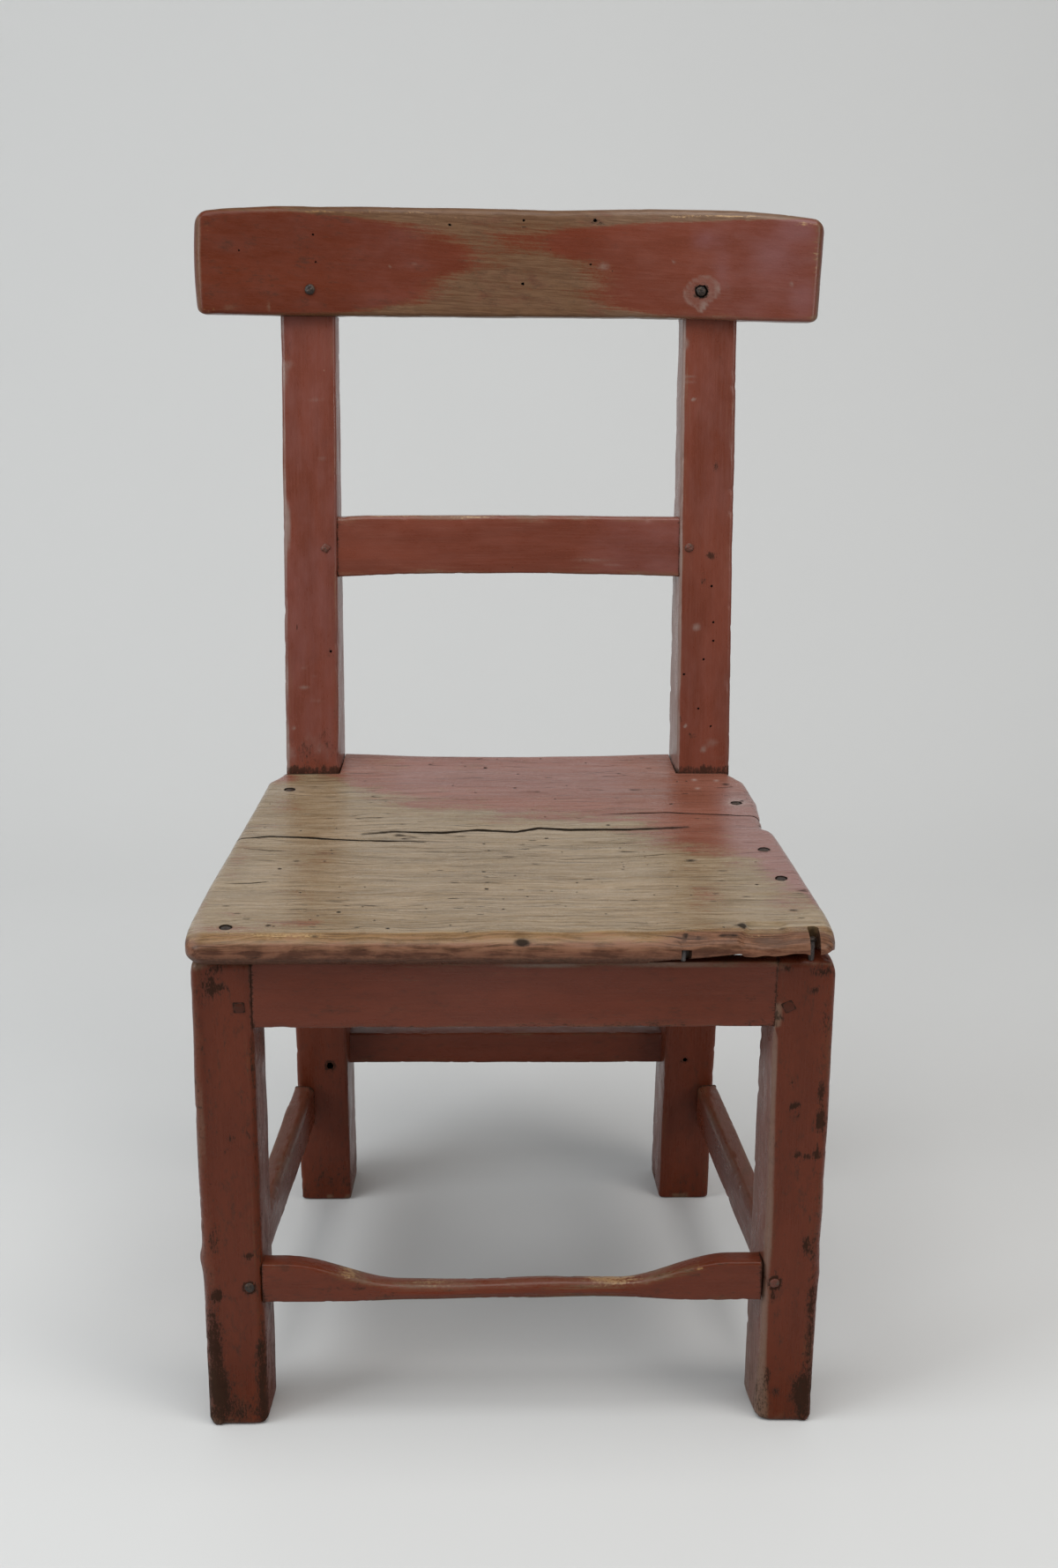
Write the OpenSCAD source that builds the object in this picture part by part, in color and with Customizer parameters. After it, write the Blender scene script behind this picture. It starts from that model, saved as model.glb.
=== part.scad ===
// Painted carpenter's chair, framed with pegged mortise and tenon joints
// Units are millimetres, +Z is up and the front of the chair faces -Y
// Origin: on the floor, at the middle of the chair's overall width and depth

/* [Seat plank] */
// Height of the seat's top face above the floor
seat_height = 430; // [400:1:460]
// Thickness of the seat plank
seat_thickness = 25; // [20:1:32]
// How far the worn front edge stands out past the front legs
seat_nose = 14; // [10:1:20]
// How far the plank's sides stand out past the posts at its back corners
seat_overhang = 9; // [4:1:16]
// Distance that the plank runs back past the front faces of the posts
seat_tail = 47; // [44:1:52]
// Length along the front edge from the right end over which the natural round of the log shows
wane_length = 137; // [80:1:160]
// Turn of that waney edge from the front edge, seen from above, in degrees
wane_turn = 11.6; // [6:0.1:14]
// Slope of the waney face, in degrees
wane_slope = 26; // [18:1:32]

/* [Front legs] */
// Outside width over both front legs
leg_spread = 477; // [450:1:500]
// Width of a front leg's front face
leg_width = 44.5; // [40:0.5:50]
// Depth of a front leg, front to back
leg_depth = 49; // [45:1:56]
// Turn of a front leg's side faces towards the back, in degrees
leg_splay = 4.5; // [2:0.1:6]

/* [Back posts] */
// Distance from the front legs' front faces to the posts' front faces at the seat
frame_depth = 340; // [310:1:370]
// Outside width over both posts from the seat up
post_spread = 387; // [370:1:400]
// Outside width over both posts at the floor
post_spread_foot = 382; // [365:1:395]
// Width of a post's front face
post_width = 46.5; // [42:0.5:52]
// Depth of a post at the floor
post_depth_foot = 55; // [50:1:62]
// Depth of a post at the seat
post_depth_seat = 50; // [47:1:58]
// Depth of a post under the crest rail
post_depth_top = 29; // [27:1:36]
// Turn of a post's side faces towards the middle, in degrees
post_splay = 4; // [1:0.1:5]
// How far a post's foot stands behind its front face at the seat
post_kick = 8; // [0:1:16]
// Backward lean of the posts above the seat, in degrees
rake = 11.3; // [6:0.1:16]

/* [Seat rails] */
// Height of the four seat rails
rail_height = 54; // [44:1:70]
// Thickness of the front seat rail
front_rail_thickness = 13; // [12:0.5:16]
// Thickness of the side seat rails
side_rail_thickness = 20; // [16:0.5:24]
// Thickness of the rear seat rail
rear_rail_thickness = 20; // [15:0.5:22]
// Distance from a front leg's outside to the side rail at their joint
side_set_in = 10; // [6:1:12]
// Distance from the posts' front faces back to the rear rail and rear stretcher
rear_set_in = 21; // [19:1:24]

/* [Stretchers] */
// Height of the front stretcher's underside above the floor
front_stretcher_bottom = 112; // [90:1:150]
// Height of the front stretcher's section at its ends
front_stretcher_end = 35; // [28:1:40]
// Height of the front stretcher's foot-worn section in the middle
front_stretcher_waist = 14; // [10:1:20]
// Depth of the front stretcher, front to back
front_stretcher_depth = 18; // [16:1:22]
// Length of the front stretcher's worn, waisted part
front_stretcher_wear = 344; // [240:1:360]
// Height of the side stretchers' top edge above the floor
side_stretcher_top = 124; // [100:1:128]
// Height of a side stretcher's section
side_stretcher_height = 38; // [28:1:44]
// Thickness of a side stretcher
side_stretcher_thickness = 18; // [14:0.5:22]
// Height of the rear stretcher's underside above the floor
rear_stretcher_bottom = 133; // [130:1:170]
// Height of the rear stretcher's section
rear_stretcher_height = 31; // [26:1:40]
// Thickness of the rear stretcher
rear_stretcher_thickness = 20; // [15:0.5:22]

/* [Back] */
// Distance up the posts from the seat to the mid rail
mid_rail_rise = 170; // [120:1:220]
// Height of the mid rail
mid_rail_height = 51; // [40:1:60]
// Thickness of the mid rail
mid_rail_thickness = 20; // [16:0.5:22]
// How far the mid rail's face lies behind the posts' front faces
mid_rail_set_in = 3; // [1:0.5:6]
// How far the mid rail's lower edge is hollowed in the middle
mid_rail_hollow = 3; // [0:0.5:6]
// Distance up the posts from the seat to the crest rail
crest_rise = 389; // [340:1:430]
// Width of the crest rail from end to end
crest_width = 528; // [480:1:560]
// Height of the crest rail
crest_height = 91; // [75:1:110]
// Thickness of the crest rail
crest_thickness = 29; // [26:0.5:34]
// How far the crest rail's front face is hollowed along its length
crest_hollow = 13; // [4:0.5:20]
// How far the crest rail stands in front of the posts
crest_stand = 12; // [8:0.5:13]
// How far the crest rail's top edge falls towards each end
crest_fall = 6; // [2:0.5:10]

/* [Joints] */
// Thickness of every tenon
tenon_thickness = 8; // [6:0.5:9]
// Length of every tenon
tenon_length = 26; // [20:1:27]
// Height of the shoulder above and below each tenon
tenon_shoulder = 5; // [3:0.5:8]
// Gap round a tenon or peg in its mortise
joint_clearance = 0.2; // [0.1:0.05:0.4]
// Gap between the seat plank and the posts that it is notched round
notch_clearance = 0.8; // [0.4:0.1:1.5]
// Thickness of each post's tongue behind the crest rail
tongue_thickness = 15; // [13:0.5:18]
// Distance from a tongue's end down from the crest rail's top
tongue_drop = 10; // [4:1:20]
// Side of the square pegs in the front seat rail
square_peg = 9; // [7:0.5:11]
// Diameter of the round pegs
round_peg = 8; // [6:0.5:10]
// Distance from a joint's shoulder to the middle of its peg
peg_offset = 11; // [9:0.5:13]
// How far the rear stretcher's pegs have sunk into the posts
sunk_peg = 8; // [2:1:12]

/* [Nails] */
// Diameter of a nail's shank
nail_shank = 4.2; // [3:0.1:5]
// Diameter of a nail's head
nail_head = 9; // [7:0.5:10]
// Height of a nail's domed head
nail_dome = 2.4; // [1.5:0.1:3]
// Length of a nail's shank
nail_length = 34; // [30:1:36]
// Gap round a nail's shank or sunk head
nail_clearance = 0.25; // [0.1:0.05:0.4]

/* [Easing] */
// Radius of the eased arrises on the legs and posts
arris = 3; // [1:0.5:5]
// Radius of the eased arrises on the rails and stretchers
rail_arris = 2; // [1:0.5:3]
// Radius of the rounded ends and top edge of the crest rail
crest_arris = 7; // [4:0.5:9]
// Radius of the seat plank's front corners, seen from above
seat_corner = 24; // [14:1:32]
// How far the feet are worn away at their edges
foot_wear = 3; // [1:0.5:5]

/* [Hidden] */
$fn = 32;

paint = [0.47, 0.20, 0.16];
paint_dark = [0.40, 0.17, 0.14];
bare_wood = [0.52, 0.42, 0.30];
iron = [0.22, 0.20, 0.20];

// Heights and places that follow from the driving sizes
rail_top = seat_height - seat_thickness;
rail_bottom = rail_top - rail_height;
leg_outer = leg_spread / 2;
leg_inner = leg_outer - leg_width;
post_outer = post_spread / 2;
post_inner = post_outer - post_width;
post_centre = post_outer - post_width / 2;
crest_half = crest_width / 2;
crest_top = crest_rise + crest_height;
tongue_front = post_depth_top * cos(rake) - tongue_thickness;
tongue_top = crest_top - tongue_drop;
far = 2 * (leg_spread + seat_height);

// Side rails and side stretchers share one line from a front leg's back face to a post's front face
side_front_x = leg_outer - leg_depth * tan(leg_splay) - side_set_in;
side_run = frame_depth - leg_depth;
side_turn = atan((side_front_x - post_outer) / side_run);

// Plain geometry
function unit(v) = v / norm(v);
function mix(a, b, t) = a + (b - a) * t;
function clamp01(t) = max(0, min(1, t));
function smooth(t) = clamp01(t) * clamp01(t) * (3 - 2 * clamp01(t));
function rectangle(x0, y0, x1, y1) = [[x0, y0], [x1, y0], [x1, y1], [x0, y1]];
function middle(outline) = [for (p = outline) 1] * outline / len(outline);
function drawn_in(outline, by) = let (m = middle(outline)) [for (p = outline) p + unit(m - p) * by];

// One corner of a counter-clockwise outline as an arc of a few points
function eased_corner(before, corner, after, radius, steps) =
    let (
        a = unit(before - corner),
        b = unit(after - corner),
        half = acos(a * b) / 2,
        centre = corner + unit(a + b) * radius / sin(half),
        from = corner + a * radius / tan(half) - centre,
        start = atan2(from[1], from[0])
    )
    [for (k = [0:steps]) centre + radius * [cos(start + (180 - 2 * half) * k / steps),
                                            sin(start + (180 - 2 * half) * k / steps)]];

// A convex counter-clockwise outline with each corner eased to its own radius
function eased(outline, radii, steps = 2) =
    let (n = len(outline))
    [for (i = [0:n - 1])
        each eased_corner(outline[(i + n - 1) % n], outline[i], outline[(i + 1) % n],
                          is_list(radii) ? radii[i] : radii, steps)];

// An outline with each edge moved inwards by its own distance
function meet(p, u, q, v) = p + u * cross(q - p, v) / cross(u, v);
function moved_in(outline, distances) =
    let (
        n = len(outline),
        along = [for (i = [0:n - 1]) unit(outline[(i + 1) % n] - outline[i])],
        start = [for (i = [0:n - 1]) outline[i] + distances[i] * [-along[i][1], along[i][0]]]
    )
    [for (i = [0:n - 1]) meet(start[(i + n - 1) % n], along[(i + n - 1) % n], start[i], along[i])];

// Solid through rings of points, each with as many points as the others
module loft(rings) {
    n = len(rings[0]);
    last = len(rings) - 1;
    sides = [for (k = [0:last - 1], i = [0:n - 1])
        let (j = (i + 1) % n, a = k * n + i, b = k * n + j, c = b + n, d = a + n)
        each [[a, d, c], [a, c, b]]];
    polyhedron(
        points = [for (ring = rings) each ring],
        faces = concat([[for (i = [0:n - 1]) i]], [[for (i = [n - 1:-1:0]) last * n + i]], sides),
        convexity = 4
    );
}

// Bar along X with its section in the YZ plane
module bar(section, length) rotate([90, 0, 90]) linear_extrude(length) polygon(section);

// Box given by its low corner and its size, grown by a clearance on every side
module block(box, grow = 0) translate(box[0] - grow * [1, 1, 1]) cube(box[1] + 2 * grow * [1, 1, 1]);

module mirrored_pair() {
    children();
    mirror([1, 0, 0]) children();
}

// Front face of a post below and above the seat, and its depth and outside, by height
function post_front(z) = z <= seat_height
    ? frame_depth + post_kick * (1 - z / seat_height)
    : frame_depth + (z - seat_height) * tan(rake);
function post_depth(z) = z <= seat_height
    ? mix(post_depth_foot, post_depth_seat, z / seat_height)
    : mix(post_depth_seat, post_depth_top, clamp01((z - seat_height) / (crest_rise * cos(rake))));
function post_side(z) = mix(post_spread_foot, post_spread, clamp01(z / seat_height)) / 2;
function post_section(z, inner = 0, outer = 0) =
    let (front = post_front(z), depth = post_depth(z), side = post_side(z), turn = depth * tan(post_splay))
    [[side - post_width - inner, front], [side + outer, front],
     [side + outer - turn, front + depth], [side - post_width - inner - turn, front + depth]];
function at_height(outline, z) = [for (p = outline) [p[0], p[1], z]];

// Places on the raked back: across, behind the posts' front faces, and up the posts from the seat
function raked(p) = [p[0], frame_depth + p[2] * sin(rake) + p[1] * cos(rake),
                     seat_height + p[2] * cos(rake) - p[1] * sin(rake)];
module on_back() translate([0, frame_depth, seat_height]) rotate([-rake, 0, 0]) children();

// Crest rail: hollowed along its length, with the top falling and the ends rounded
crest_fall_length = 60;
function crest_bow(x) = crest_hollow * (pow(post_centre / crest_half, 2) - pow(x / crest_half, 2));
function crest_front(x) = crest_bow(x) - crest_stand;
function crest_ring(x, inset) =
    let (
        fall = crest_fall * pow(clamp01((abs(x) - crest_half + crest_fall_length) / crest_fall_length), 2),
        low = crest_front(x) + inset,
        high = crest_front(x) + crest_thickness - inset,
        radii = [crest_arris * 0.6, crest_arris * 0.6, crest_arris * 0.8, crest_arris]
    )
    [for (p = eased(rectangle(low, crest_rise + inset, high, crest_top - fall - inset), radii))
        raked([x, p[0], p[1]])];
crest_end = crest_half - crest_arris;
crest_turns = [20, 40, 65, 90];
crest_steps = 9;
function crest_end_ring(side, turn) =
    crest_ring(side * (crest_end + crest_arris * sin(turn)), crest_arris * (1 - cos(turn)) * 0.8);
crest_rings = concat(
    [for (k = [len(crest_turns) - 1:-1:0]) crest_end_ring(-1, crest_turns[k])],
    [for (k = [-crest_steps:crest_steps]) crest_ring(crest_end * k / crest_steps, 0)],
    [for (turn = crest_turns) crest_end_ring(1, turn)]
);

// The crest's hindmost point and the seat's nosing set the overall depth, and so the origin
hindmost = max([for (ring = crest_rings, p = ring) p[1]]);
tongue_back = raked([0, post_depth_top * cos(rake), tongue_top])[1];
frame_y = -(max(hindmost, tongue_back) - seat_nose) / 2;
module placed(colour) translate([0, frame_y, 0]) color(colour) children();

// Tenon boxes for the right-hand joints, each reaching back into its own rail
tenon_root = 9;
front_tenon_y = front_rail_thickness - tenon_thickness;
front_rail_tenon = [[leg_inner - tenon_root, front_tenon_y, rail_bottom + tenon_shoulder],
                    [tenon_root + tenon_length, tenon_thickness, rail_height - 2 * tenon_shoulder]];
front_stretcher_y = 1;
front_stretcher_tenon = [
    [leg_inner - tenon_root, front_stretcher_y + (front_stretcher_depth - tenon_thickness) / 2,
     front_stretcher_bottom + tenon_shoulder],
    [tenon_root + tenon_length, tenon_thickness, front_stretcher_end - 2 * tenon_shoulder]];
function rear_tenon(bottom, height, thickness) =
    let (side = post_side(bottom) - post_width - post_depth_foot * tan(post_splay))
    [[side - tenon_root, frame_depth + rear_shift(bottom) + (thickness - tenon_thickness) / 2,
      bottom + tenon_shoulder],
     [tenon_root + tenon_length + 2, tenon_thickness, height - 2 * tenon_shoulder]];
function rear_shift(bottom) = rear_set_in + post_front(bottom) - frame_depth;
function side_centre(y, thickness) =
    side_front_x - (y - leg_depth) * tan(side_turn) - thickness / 2 / cos(side_turn);
function side_tenon_front(bottom, height, thickness) =
    [[side_centre(leg_depth, thickness) - tenon_thickness / 2, leg_depth - tenon_length + 2,
      bottom + tenon_shoulder],
     [tenon_thickness, tenon_length + tenon_root - 2, height - 2 * tenon_shoulder]];
function side_tenon_back(bottom, height, thickness) =
    [[side_centre(frame_depth, thickness) - tenon_thickness / 2, frame_depth - tenon_root,
      bottom + tenon_shoulder],
     [tenon_thickness, tenon_length + tenon_root, height - 2 * tenon_shoulder]];
side_stretcher_bottom = side_stretcher_top - side_stretcher_height;
rear_rail_tenon = rear_tenon(rail_bottom, rail_height, rear_rail_thickness);
rear_stretcher_tenon = rear_tenon(rear_stretcher_bottom, rear_stretcher_height, rear_stretcher_thickness);
side_tenons_front = [
    side_tenon_front(rail_bottom, rail_height, side_rail_thickness),
    side_tenon_front(side_stretcher_bottom, side_stretcher_height, side_stretcher_thickness)
];
side_tenons_back = [
    side_tenon_back(rail_bottom, rail_height, side_rail_thickness),
    side_tenon_back(side_stretcher_bottom, side_stretcher_height, side_stretcher_thickness)
];
mid_rail_tenon = [[post_inner - post_depth_seat * tan(post_splay) - tenon_root,
                   mid_rail_set_in + (mid_rail_thickness - tenon_thickness) / 2,
                   mid_rail_rise + tenon_shoulder],
                  [tenon_root + tenon_length + 2, tenon_thickness, mid_rail_height - 2 * tenon_shoulder]];

// Pegs of the right-hand joints, each standing a little proud of the face that it was driven into
peg_stand = 0.4;
front_peg_rise = 17;
front_peg_depth = front_rail_thickness + 10;
front_peg_low = [leg_inner + peg_offset - square_peg / 2, -peg_stand,
                 rail_bottom + front_peg_rise - square_peg / 2];
front_peg = [front_peg_low, [square_peg, front_peg_depth + peg_stand, square_peg]];
rail_middle = rail_bottom + rail_height / 2;
leg_peg_y = leg_depth - peg_offset;
post_peg_y = post_front(rail_middle) + peg_offset;
rear_peg_x = post_side(rail_bottom) - post_width - post_depth_seat * tan(post_splay) + peg_offset + 3;
stretcher_peg_z = rear_stretcher_bottom + 12;
stretcher_peg_x = post_side(stretcher_peg_z) - post_width + peg_offset + 5;

// Pegs lie along Y from a front or back face, or along X from an outside face
module peg_along_y(x, y, z, length, grow = 0)
    translate([x, y - grow, z]) rotate([-90, 0, 0]) cylinder(d = round_peg + 2 * grow, h = length + 2 * grow);
module peg_along_x(x, y, z, length, grow = 0)
    translate([x + grow, y, z]) rotate([0, -90, 0]) cylinder(d = round_peg + 2 * grow, h = length + 2 * grow);
side_peg_length = 32;
module side_rail_peg_front(grow = 0)
    peg_along_x(leg_outer - leg_peg_y * tan(leg_splay) + peg_stand, leg_peg_y, rail_middle,
                side_peg_length, grow);
module side_rail_peg_back(grow = 0)
    peg_along_x(post_side(rail_middle) - peg_offset * tan(post_splay) + peg_stand, post_peg_y, rail_middle,
                side_peg_length - 8, grow);
rear_peg_length = 34;
module rear_rail_peg(grow = 0)
    peg_along_y(rear_peg_x, post_front(rail_middle) + post_depth(rail_middle) - rear_peg_length + peg_stand,
                rail_middle, rear_peg_length, grow);
sunk_peg_length = 34;
module rear_stretcher_peg(grow = 0)
    peg_along_y(stretcher_peg_x, post_front(stretcher_peg_z) + sunk_peg, stretcher_peg_z,
                sunk_peg_length, grow);
module rear_stretcher_peg_hole() {
    rear_stretcher_peg(joint_clearance);
    peg_along_y(stretcher_peg_x, frame_depth - post_width / 2, stretcher_peg_z,
                post_width / 2 + post_kick + sunk_peg, joint_clearance);
}

// Nail with its head's underside at Z = 0 and its point towards -Z, and the hole that it needs
module nail(length = nail_length, head = nail_head, dome = nail_dome) {
    shank = nail_shank / 2;
    point = 2.5 * nail_shank;
    side = [[0, -length], [shank * 0.3, -length], [shank, point - length], [shank, 0], [head / 2, 0]];
    rotate_extrude()
        polygon(concat(side, [for (a = [15:15:90]) [head / 2 * cos(a), 0.3 * dome + 0.7 * dome * sin(a)]]));
}
module nail_hole(length = nail_length, above = 0)
    translate([0, 0, -length - 1]) cylinder(d = nail_shank + 2 * nail_clearance, h = length + 1 + above);
module from_front(x, z, y = 0) translate([x, y, z]) rotate([90, 0, 0]) children();
module from_right(x, y, z) translate([x, y, z]) rotate([0, 90, 0]) children();

front_nail_x = leg_inner + 10.5;
front_nail_z = front_stretcher_bottom + 16;
side_nail_z = side_stretcher_top - side_stretcher_height / 2;
side_nail_length = nail_length - 6;
side_nail_stand = 0.38;
module at_side_nails_front()
    from_right(leg_outer - leg_peg_y * tan(leg_splay) + side_nail_stand, leg_peg_y, side_nail_z) children();
module at_side_nails_back()
    from_right(post_side(side_nail_z) - peg_offset * tan(post_splay) + side_nail_stand,
               post_front(side_nail_z) + peg_offset, side_nail_z) children();
mid_nail_x = post_inner + 9;
mid_nail_up = mid_rail_rise + mid_rail_height / 2;
module at_mid_nail() on_back() from_front(mid_nail_x, mid_nail_up) children();
crest_nail_up = crest_rise + 22;
crest_nails_x = [-post_centre + 3, post_centre - 9.4];
module at_crest_nails()
    on_back() for (x = crest_nails_x) from_front(x, crest_nail_up, crest_front(x) - 0.3) children();

// Seat nails over the side rails: side, distance back from the front legs, depth of the sunk head
seat_nails_back = [[-1, 298, 2.6], [1, 266, 5], [1, 162, 5], [1, 102, 5]];
seat_nail_length = nail_length + 8;
corner_nail = [-leg_inner - 19, 9];
corner_nail_sink = 2.6;
function seat_nail_place(n) = [n[0] * side_centre(n[1], side_rail_thickness), n[1]];
module at_seat_nails(recess = 0) {
    for (n = seat_nails_back)
        translate([each seat_nail_place(n), seat_height - n[2] + recess]) children();
    translate([each corner_nail, seat_height - corner_nail_sink + recess]) children();
}
// Two nails that the waney corner leaves bare, one in the front rail and one in the right leg
bare_nail = [post_centre - 45, 4];
bare_nail_top = rail_top + seat_thickness / 2 + 2;
slot_nail = [leg_inner + 26, 13];
slot_nail_top = seat_height - 7;
bare_nail_hold = 24;
module bare_nail_holes() {
    translate([each bare_nail, rail_top]) nail_hole(bare_nail_hold, 1);
    translate([each slot_nail, rail_top]) nail_hole(bare_nail_hold, 1);
}

// Front leg on the right, with its mortises and holes
module leg_stock() {
    back = leg_depth * tan(leg_splay);
    section = [[leg_inner, 0], [leg_outer, 0], [leg_outer - back, leg_depth], [leg_inner - back, leg_depth]];
    function slice(z, wear) = at_height(eased(drawn_in(section, wear), arris), z);
    loft([slice(0, foot_wear), slice(1.5 * foot_wear, 0.3 * foot_wear), slice(4 * foot_wear, 0),
          slice(rail_top, 0)]);
}
module leg_joints() {
    block(front_rail_tenon, joint_clearance);
    block(front_stretcher_tenon, joint_clearance);
    for (tenon = side_tenons_front) block(tenon, joint_clearance);
    block(front_peg, joint_clearance);
    side_rail_peg_front(joint_clearance);
    from_front(front_nail_x, front_nail_z) nail_hole(above = 1);
    at_side_nails_front() nail_hole(side_nail_length, 1);
}
module front_leg_right()
    placed(paint) difference() {
        leg_stock();
        leg_joints();
        bare_nail_holes();
    }
module front_leg_left()
    placed(paint) difference() {
        mirror([1, 0, 0]) {
            difference() {
                leg_stock();
                leg_joints();
            }
        }
        at_seat_nails() nail_hole(seat_nail_length);
    }

// Back post on the right: one timber from the floor to behind the crest rail
module post_stock() {
    top = raked([0, 0, crest_top])[2];
    function slice(z, wear) = at_height(eased(drawn_in(post_section(z), wear), arris), z);
    loft([slice(0, foot_wear), slice(1.5 * foot_wear, 0.3 * foot_wear), slice(4 * foot_wear, 0),
          slice(seat_height, 0), slice(raked([0, 0, crest_rise])[2], 0), slice(top, 0)]);
}
tongue_step = 1;
tongue_inner = post_inner + tongue_step;
tongue_outer = post_outer - post_depth_top * tan(post_splay) - tongue_step;
module crest_room()
    on_back() difference() {
        translate([post_inner - 40, -60, crest_rise]) cube([post_width + 80, 140, crest_height + 60]);
        translate([tongue_inner, tongue_front, crest_rise - 1])
            cube([tongue_outer - tongue_inner, 80, tongue_top - crest_rise + 1]);
    }
module post_joints() {
    crest_room();
    for (tenon = side_tenons_back) block(tenon, joint_clearance);
    block(rear_rail_tenon, joint_clearance);
    block(rear_stretcher_tenon, joint_clearance);
    on_back() block(mid_rail_tenon, joint_clearance);
    side_rail_peg_back(joint_clearance);
    rear_rail_peg(joint_clearance);
    rear_stretcher_peg_hole();
    at_mid_nail() nail_hole(above = 1);
    at_side_nails_back() nail_hole(side_nail_length, 1);
}
module back_post_right()
    placed(paint) difference() {
        post_stock();
        post_joints();
        at_crest_nails() nail_hole();
    }
module back_post_left()
    placed(paint) difference() {
        mirror([1, 0, 0]) difference() {
            post_stock();
            post_joints();
        }
        at_crest_nails() nail_hole();
    }

// Space taken by the legs and posts past the right-hand shoulders of the rails
module past_leg_inside()
    linear_extrude(rail_top + 10)
        polygon([[leg_inner + 50 * tan(leg_splay), -50], [far, -50], [far, 150],
                 [leg_inner - 150 * tan(leg_splay), 150]]);
module past_post_inside(low, high) {
    reach = 150;
    function slice(z) = let (x = post_side(z) - post_width, y = post_front(z)) at_height(
        [[x + reach * tan(post_splay), y - reach], [far, y - reach], [far, y + reach],
         [x - reach * tan(post_splay), y + reach]], z);
    loft([slice(low), slice(high)]);
}
module past_post_fronts() {
    section = [[post_front(0), 0], [far, 0], [far, seat_height], [frame_depth, seat_height]];
    translate([-far, 0, 0]) bar(section, 2 * far);
}

// Seat rails
module front_seat_rail()
    placed(paint) difference() {
        union() {
            difference() {
                translate([-leg_outer, 0, rail_bottom])
                    bar(eased(rectangle(0, 0, front_rail_thickness, rail_height), rail_arris / 2), leg_spread);
                mirrored_pair() past_leg_inside();
            }
            mirrored_pair() block(front_rail_tenon);
        }
        mirrored_pair() block(front_peg, joint_clearance);
        at_seat_nails() nail_hole(seat_nail_length);
        bare_nail_holes();
    }
module rear_member(bottom, height, thickness, easing, tenon)
    union() {
        difference() {
            translate([-post_outer, frame_depth + rear_shift(bottom), bottom])
                bar(eased(rectangle(0, 0, thickness, height), easing), post_spread);
            mirrored_pair() past_post_inside(0, seat_height);
        }
        mirrored_pair() block(tenon);
    }
module rear_seat_rail()
    placed(paint_dark) difference() {
        rear_member(rail_bottom, rail_height, rear_rail_thickness, rail_arris / 2, rear_rail_tenon);
        mirrored_pair() rear_rail_peg(joint_clearance);
    }
module side_member(bottom, height, thickness, easing, tenons) {
    spare = 30;
    difference() {
        translate([side_front_x, leg_depth, bottom])
            rotate([0, 0, 90 + side_turn])
                translate([-spare, 0, 0])
                    bar(eased(rectangle(0, 0, thickness, height), easing), side_run + 2 * spare);
        translate([0, leg_depth - far, 0]) cube([far, far, rail_top + 1]);
        past_post_fronts();
    }
    for (tenon = tenons) block(tenon);
}
module side_rail()
    difference() {
        side_member(rail_bottom, rail_height, side_rail_thickness, rail_arris / 2,
                    [side_tenons_front[0], side_tenons_back[0]]);
        side_rail_peg_front(joint_clearance);
        side_rail_peg_back(joint_clearance);
    }
module side_seat_rail_right()
    placed(paint_dark) difference() {
        side_rail();
        at_seat_nails() nail_hole(seat_nail_length);
    }
module side_seat_rail_left()
    placed(paint_dark) difference() {
        mirror([1, 0, 0]) side_rail();
        at_seat_nails() nail_hole(seat_nail_length);
    }

// Stretchers
function waist(x) = smooth((abs(x) - front_stretcher_wear / 4) / (front_stretcher_wear / 4));
stretcher_steps = 14;
function front_stretcher_ring(x) =
    let (
        height = mix(front_stretcher_waist, front_stretcher_end, waist(x)),
        hollow = mix(1.5, 0, waist(x)),
        easing = mix(0.42 * front_stretcher_waist, rail_arris, waist(x))
    )
    [for (p = eased(rectangle(front_stretcher_y, front_stretcher_bottom + hollow,
                              front_stretcher_y + front_stretcher_depth - hollow,
                              front_stretcher_bottom + hollow + height), easing, 3))
        [x, p[0], p[1]]];
module front_stretcher()
    placed(paint) difference() {
        union() {
            difference() {
                loft([for (k = [-stretcher_steps:stretcher_steps])
                    front_stretcher_ring(leg_outer * k / stretcher_steps)]);
                mirrored_pair() past_leg_inside();
            }
            mirrored_pair() block(front_stretcher_tenon);
        }
        mirrored_pair() from_front(front_nail_x, front_nail_z) nail_hole();
    }
module rear_stretcher()
    placed(paint_dark) difference() {
        rear_member(rear_stretcher_bottom, rear_stretcher_height, rear_stretcher_thickness, rail_arris,
                    rear_stretcher_tenon);
        mirrored_pair() rear_stretcher_peg(joint_clearance);
    }
module side_stretcher()
    difference() {
        side_member(side_stretcher_bottom, side_stretcher_height, side_stretcher_thickness,
                    [rail_arris, rail_arris, 2 * rail_arris, rail_arris],
                    [side_tenons_front[1], side_tenons_back[1]]);
        at_side_nails_front() nail_hole(side_nail_length);
        at_side_nails_back() nail_hole(side_nail_length);
    }
module side_stretcher_right() placed(paint_dark) side_stretcher();
module side_stretcher_left() placed(paint_dark) mirror([1, 0, 0]) side_stretcher();

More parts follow.
